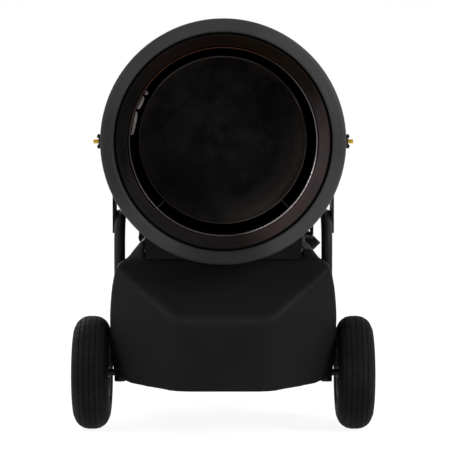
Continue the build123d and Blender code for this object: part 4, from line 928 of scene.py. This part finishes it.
# all the pins but the two at the lower left and right are painted near black as painted shade; those two
# are painted lighter as painted light
pin_steel = HeadFinish("pin_steel", 0.6, metallic=1.0)
pins_in_painted_light = pin_steel.toward(-45).between(0.96, 0.99) + pin_steel.toward(-135).between(0.96, 0.99)
pin_steel.set("Base Color", pin_steel.mix(pins_in_painted_light, (0.0012, 0.0012, 0.0012), (0.035, 0.032, 0.03)))
dress(pin_steel, "disc_pins")

# ---- burner and fan ----
# Glazed ceramic electrodes and the nozzle sit in the blast tube, behind a pressed swirl plate; a
# galvanised fan housing, a painted motor and a cast pump stand behind the drum.
ceramic = powder_coat("ceramic", (0.6, 0.58, 0.52), (0.7, 0.68, 0.62), 0.3, specular=0.5)
dress(ceramic, "electrodes")
galvanised = plated("galvanised_sheet", (0.5, 0.51, 0.53), 0.38)
dress(galvanised, "fan_housing", "fan_wheel", "air_damper")
dress(zinc, "motor_shaft")
motor_paint = powder_coat("motor_grey", (0.06, 0.065, 0.07), (0.08, 0.085, 0.09), 0.45, specular=0.3)
dress(motor_paint, "motor")
pump_cast = plated("cast_alloy", (0.5, 0.5, 0.49), 0.45)
dress(pump_cast, "fuel_pump")
dress(black_plastic, "ignition_transformer")

# ---- control cabinet ----
# A folded steel box behind the tank, with the thermostat, the switch, the reset button, the
# pilot lamp and the gland for the mains lead on its rear panel. Its marks are printed in white.
dress(sheet_coat, "control_cabinet")
panel_coat = powder_coat("panel_coat", (0.016, 0.016, 0.0162), (0.022, 0.022, 0.022), 0.5, specular=0.14)
dress(panel_coat, "control_panel")
dress(black_plastic, "thermostat_knob", "cable_gland")
red_plastic = powder_coat("red_plastic_gloss", (0.35, 0.01, 0.008), (0.4, 0.02, 0.012), 0.35, specular=0.4)
dress(red_plastic, "reset_button", "power_rocker")
lamp_green = powder_coat("lamp_green", (0.02, 0.3, 0.05), (0.03, 0.35, 0.07), 0.2, specular=0.5)
dress(lamp_green, "pilot_lamp")
board_lacquer = powder_coat("board_lacquer", (0.01, 0.08, 0.03), (0.015, 0.1, 0.04), 0.4, specular=0.4)
dress(board_lacquer, "control_board")

PRINT_T = 0.0002
print_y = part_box("control_panel")[1][1] + PRINT_T
knob_low, knob_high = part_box("thermostat_knob")
knob_x, knob_z = (knob_low[0] + knob_high[0]) / 2, (knob_low[2] + knob_high[2]) / 2
rocker_low, rocker_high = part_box("power_rocker")
rocker_x = (rocker_low[0] + rocker_high[0]) / 2
white_print = powder_coat("white_print", (0.55, 0.55, 0.54), (0.62, 0.62, 0.61), 0.6, peel=0.00001)


def printed(name, text, size, x, z):
    """A word or number printed on the panel, read from behind the heater."""
    letters = bpy.data.curves.new(name, "FONT")
    letters.body = text
    letters.size = size
    letters.extrude = PRINT_T / 2
    letters.align_x = "CENTER"
    letters.align_y = "CENTER"
    holder = bpy.data.objects.new(name, letters)
    bpy.context.scene.collection.objects.link(holder)
    bpy.context.view_layer.update()
    mesh = bpy.data.meshes.new_from_object(holder.evaluated_get(bpy.context.evaluated_depsgraph_get()))
    bpy.data.objects.remove(holder)
    middle_y = print_y - PRINT_T / 2
    points = [(x - vertex.co.x, middle_y + vertex.co.z, z + vertex.co.y) for vertex in mesh.vertices]
    faces = [tuple(face.vertices) for face in mesh.polygons]
    make_piece(name, points, faces, white_print, "chassis", "ceramic_white", smooth=False)


DIAL_R = 0.0228
DIAL_FLATTENED = 0.92
DIAL_NUMBERS = 7
DIAL_SWEEP = 240
DIAL_LETTERS = 0.0055
SWITCH_LETTERS = 0.006
SWITCH_GAP = 0.0055
for number in range(DIAL_NUMBERS):
    turn = math.radians(90 + DIAL_SWEEP / 2 - DIAL_SWEEP * number / (DIAL_NUMBERS - 1))
    x = knob_x - DIAL_R * math.cos(turn)
    z = knob_z + DIAL_R * math.sin(turn) * DIAL_FLATTENED
    printed(f"dial_{number}", str(number), DIAL_LETTERS, x, z)
printed("mark_on", "ON", SWITCH_LETTERS, rocker_x, rocker_high[2] + SWITCH_GAP)
printed("mark_off", "OFF", SWITCH_LETTERS, rocker_x, rocker_low[2] - SWITCH_GAP)

# ---- sheet screws ----
# Pan-head screws with a cross recess hold the shield, the casing and its grille.
SCREW_R = 0.0045
RECESS_HALF_W = 0.0006
RECESS_REACH = 0.0023
RECESS_DEPTH = 0.0011
RECESS_END = 0.0008  # the recess rises to the head's top over this length
SCREW_STEPS = 48
SCREW_RINGS = 22
SCREW_SHARP = 40


def pan_head(place, axis, radius, height):
    """Rings of one screw's head: a low dome with a cross sunk into it."""
    u = axis.orthogonal().normalized()
    v = axis.cross(u)
    turns = [2 * math.pi * step / SCREW_STEPS for step in range(SCREW_STEPS)]
    rings = [[place + (u * math.cos(turn) + v * math.sin(turn)) * radius for turn in turns]]
    for ring in range(SCREW_RINGS):
        share = 1 - ring / SCREW_RINGS
        points = []
        for turn in turns:
            across, along = share * radius * math.cos(turn), share * radius * math.sin(turn)
            rise = height * (1 - 0.55 * share**4)
            narrow, wide = sorted((abs(across), abs(along)))
            if narrow < RECESS_HALF_W and wide < RECESS_REACH:
                rise -= RECESS_DEPTH * min(1.0, (RECESS_REACH - wide) / RECESS_END)
            points.append(place + axis * rise + u * across + v * along)
        rings.append(points)
    return rings


def screws(node, body, places, height):
    """All the screws of one node as one piece of separate heads; places are (centre, direction)."""
    points, faces = [], []
    for place, axis in places:
        rings = pan_head(Vector(place), Vector(axis), SCREW_R, height)
        head_points, head_faces = skin(rings)
        shift = len(points)
        faces += [tuple(index + shift for index in face) for face in head_faces]
        points += head_points
        faces.append(tuple(range(shift, shift + SCREW_STEPS)))
        faces.append(tuple(reversed(range(len(points) - SCREW_STEPS, len(points)))))
    made = make_piece(f"{node}_heads", points, faces, zinc, body, "zinc_steel")
    made.data.set_sharp_from_angle(angle=math.radians(SCREW_SHARP))
    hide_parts(node)


SHIELD_SIDE = 0.178
SHIELD_SCREW_Z = 0.413
SHIELD_SCREWS_Y = (-0.366, -0.22, -0.09)
GRILLE_Y = 0.1872
GRILLE_SCREWS_X = 0.143
GRILLE_SCREWS_Z = (0.6, 0.655, 0.71)
CASING_SIDE = 0.155
CASING_SCREWS_Y = (-0.12, 0.165)
CASING_SCREWS_Z = (0.57, 0.7)
shield_places = []
casing_places = []
for word, side in SIDES:
    outward = (side, 0, 0)
    shield_places += [((side * SHIELD_SIDE, y, SHIELD_SCREW_Z), outward) for y in SHIELD_SCREWS_Y]
    casing_places += [((side * GRILLE_SCREWS_X, GRILLE_Y, z), (0, 1, 0)) for z in GRILLE_SCREWS_Z]
    for y in CASING_SCREWS_Y:
        casing_places += [((side * CASING_SIDE, y, z), outward) for z in CASING_SCREWS_Z]
screws("shield_screws", "chassis", shield_places, height=0.0018)
screws("casing_screws", "head", casing_places, height=0.0022)

# ---- fuel hose ----
# A rubber hose runs from the pick-up on the tank to the pump's nipple. It is pushed onto a barb
# at each end.
HOSE_R = 0.0045
HOSE_BORE = 0.0031
HOSE_X = 0.213
HOSE_ROUTE = [(HOSE_X, -0.1, 0.435), (HOSE_X, -0.1, 0.52), (HOSE_X, -0.06, 0.6), (HOSE_X, -0.0146, 0.6381)]


def smooth_line(name, route):
    """Points along the smooth curve that has the route's points as its control points."""
    curve = bpy.data.curves.new(name, "CURVE")
    curve.dimensions = "3D"
    spline = curve.splines.new("NURBS")
    spline.points.add(len(route) - 1)
    for point, place in zip(spline.points, route):
        point.co = (*place, 1)
    spline.order_u = 3
    spline.use_endpoint_u = True
    spline.resolution_u = 24
    holder = bpy.data.objects.new(name, curve)
    bpy.context.scene.collection.objects.link(holder)
    mesh = bpy.data.meshes.new_from_object(holder.evaluated_get(bpy.context.evaluated_depsgraph_get()))
    line = [vertex.co.copy() for vertex in mesh.vertices]
    bpy.data.objects.remove(holder)
    return line


def tube_rings(line, radius, steps=24):
    """Rings of points square to the line; every line here lies in one plane across X."""
    rings = []
    for index, point in enumerate(line):
        before, after = line[max(index - 1, 0)], line[min(index + 1, len(line) - 1)]
        along = (after - before).normalized()
        up = Vector((1, 0, 0)).cross(along).normalized()
        ring = []
        for step in range(steps):
            turn = 2 * math.pi * step / steps
            ring.append(point + (Vector((math.cos(turn), 0, 0)) + up * math.sin(turn)) * radius)
        rings.append(ring)
    return rings


hose_line = smooth_line("hose_route", HOSE_ROUTE)
hose_rings = tube_rings(hose_line, HOSE_R)
bores = tube_rings(hose_line, HOSE_BORE)
hose_mesh = skin([bores[0]] + hose_rings + [bores[-1]] + bores[-2:0:-1], along=True)
hose = make_piece("hose", *hose_mesh, soft_rubber, None, "black_rubber")
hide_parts("fuel_hose")
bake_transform(hose)
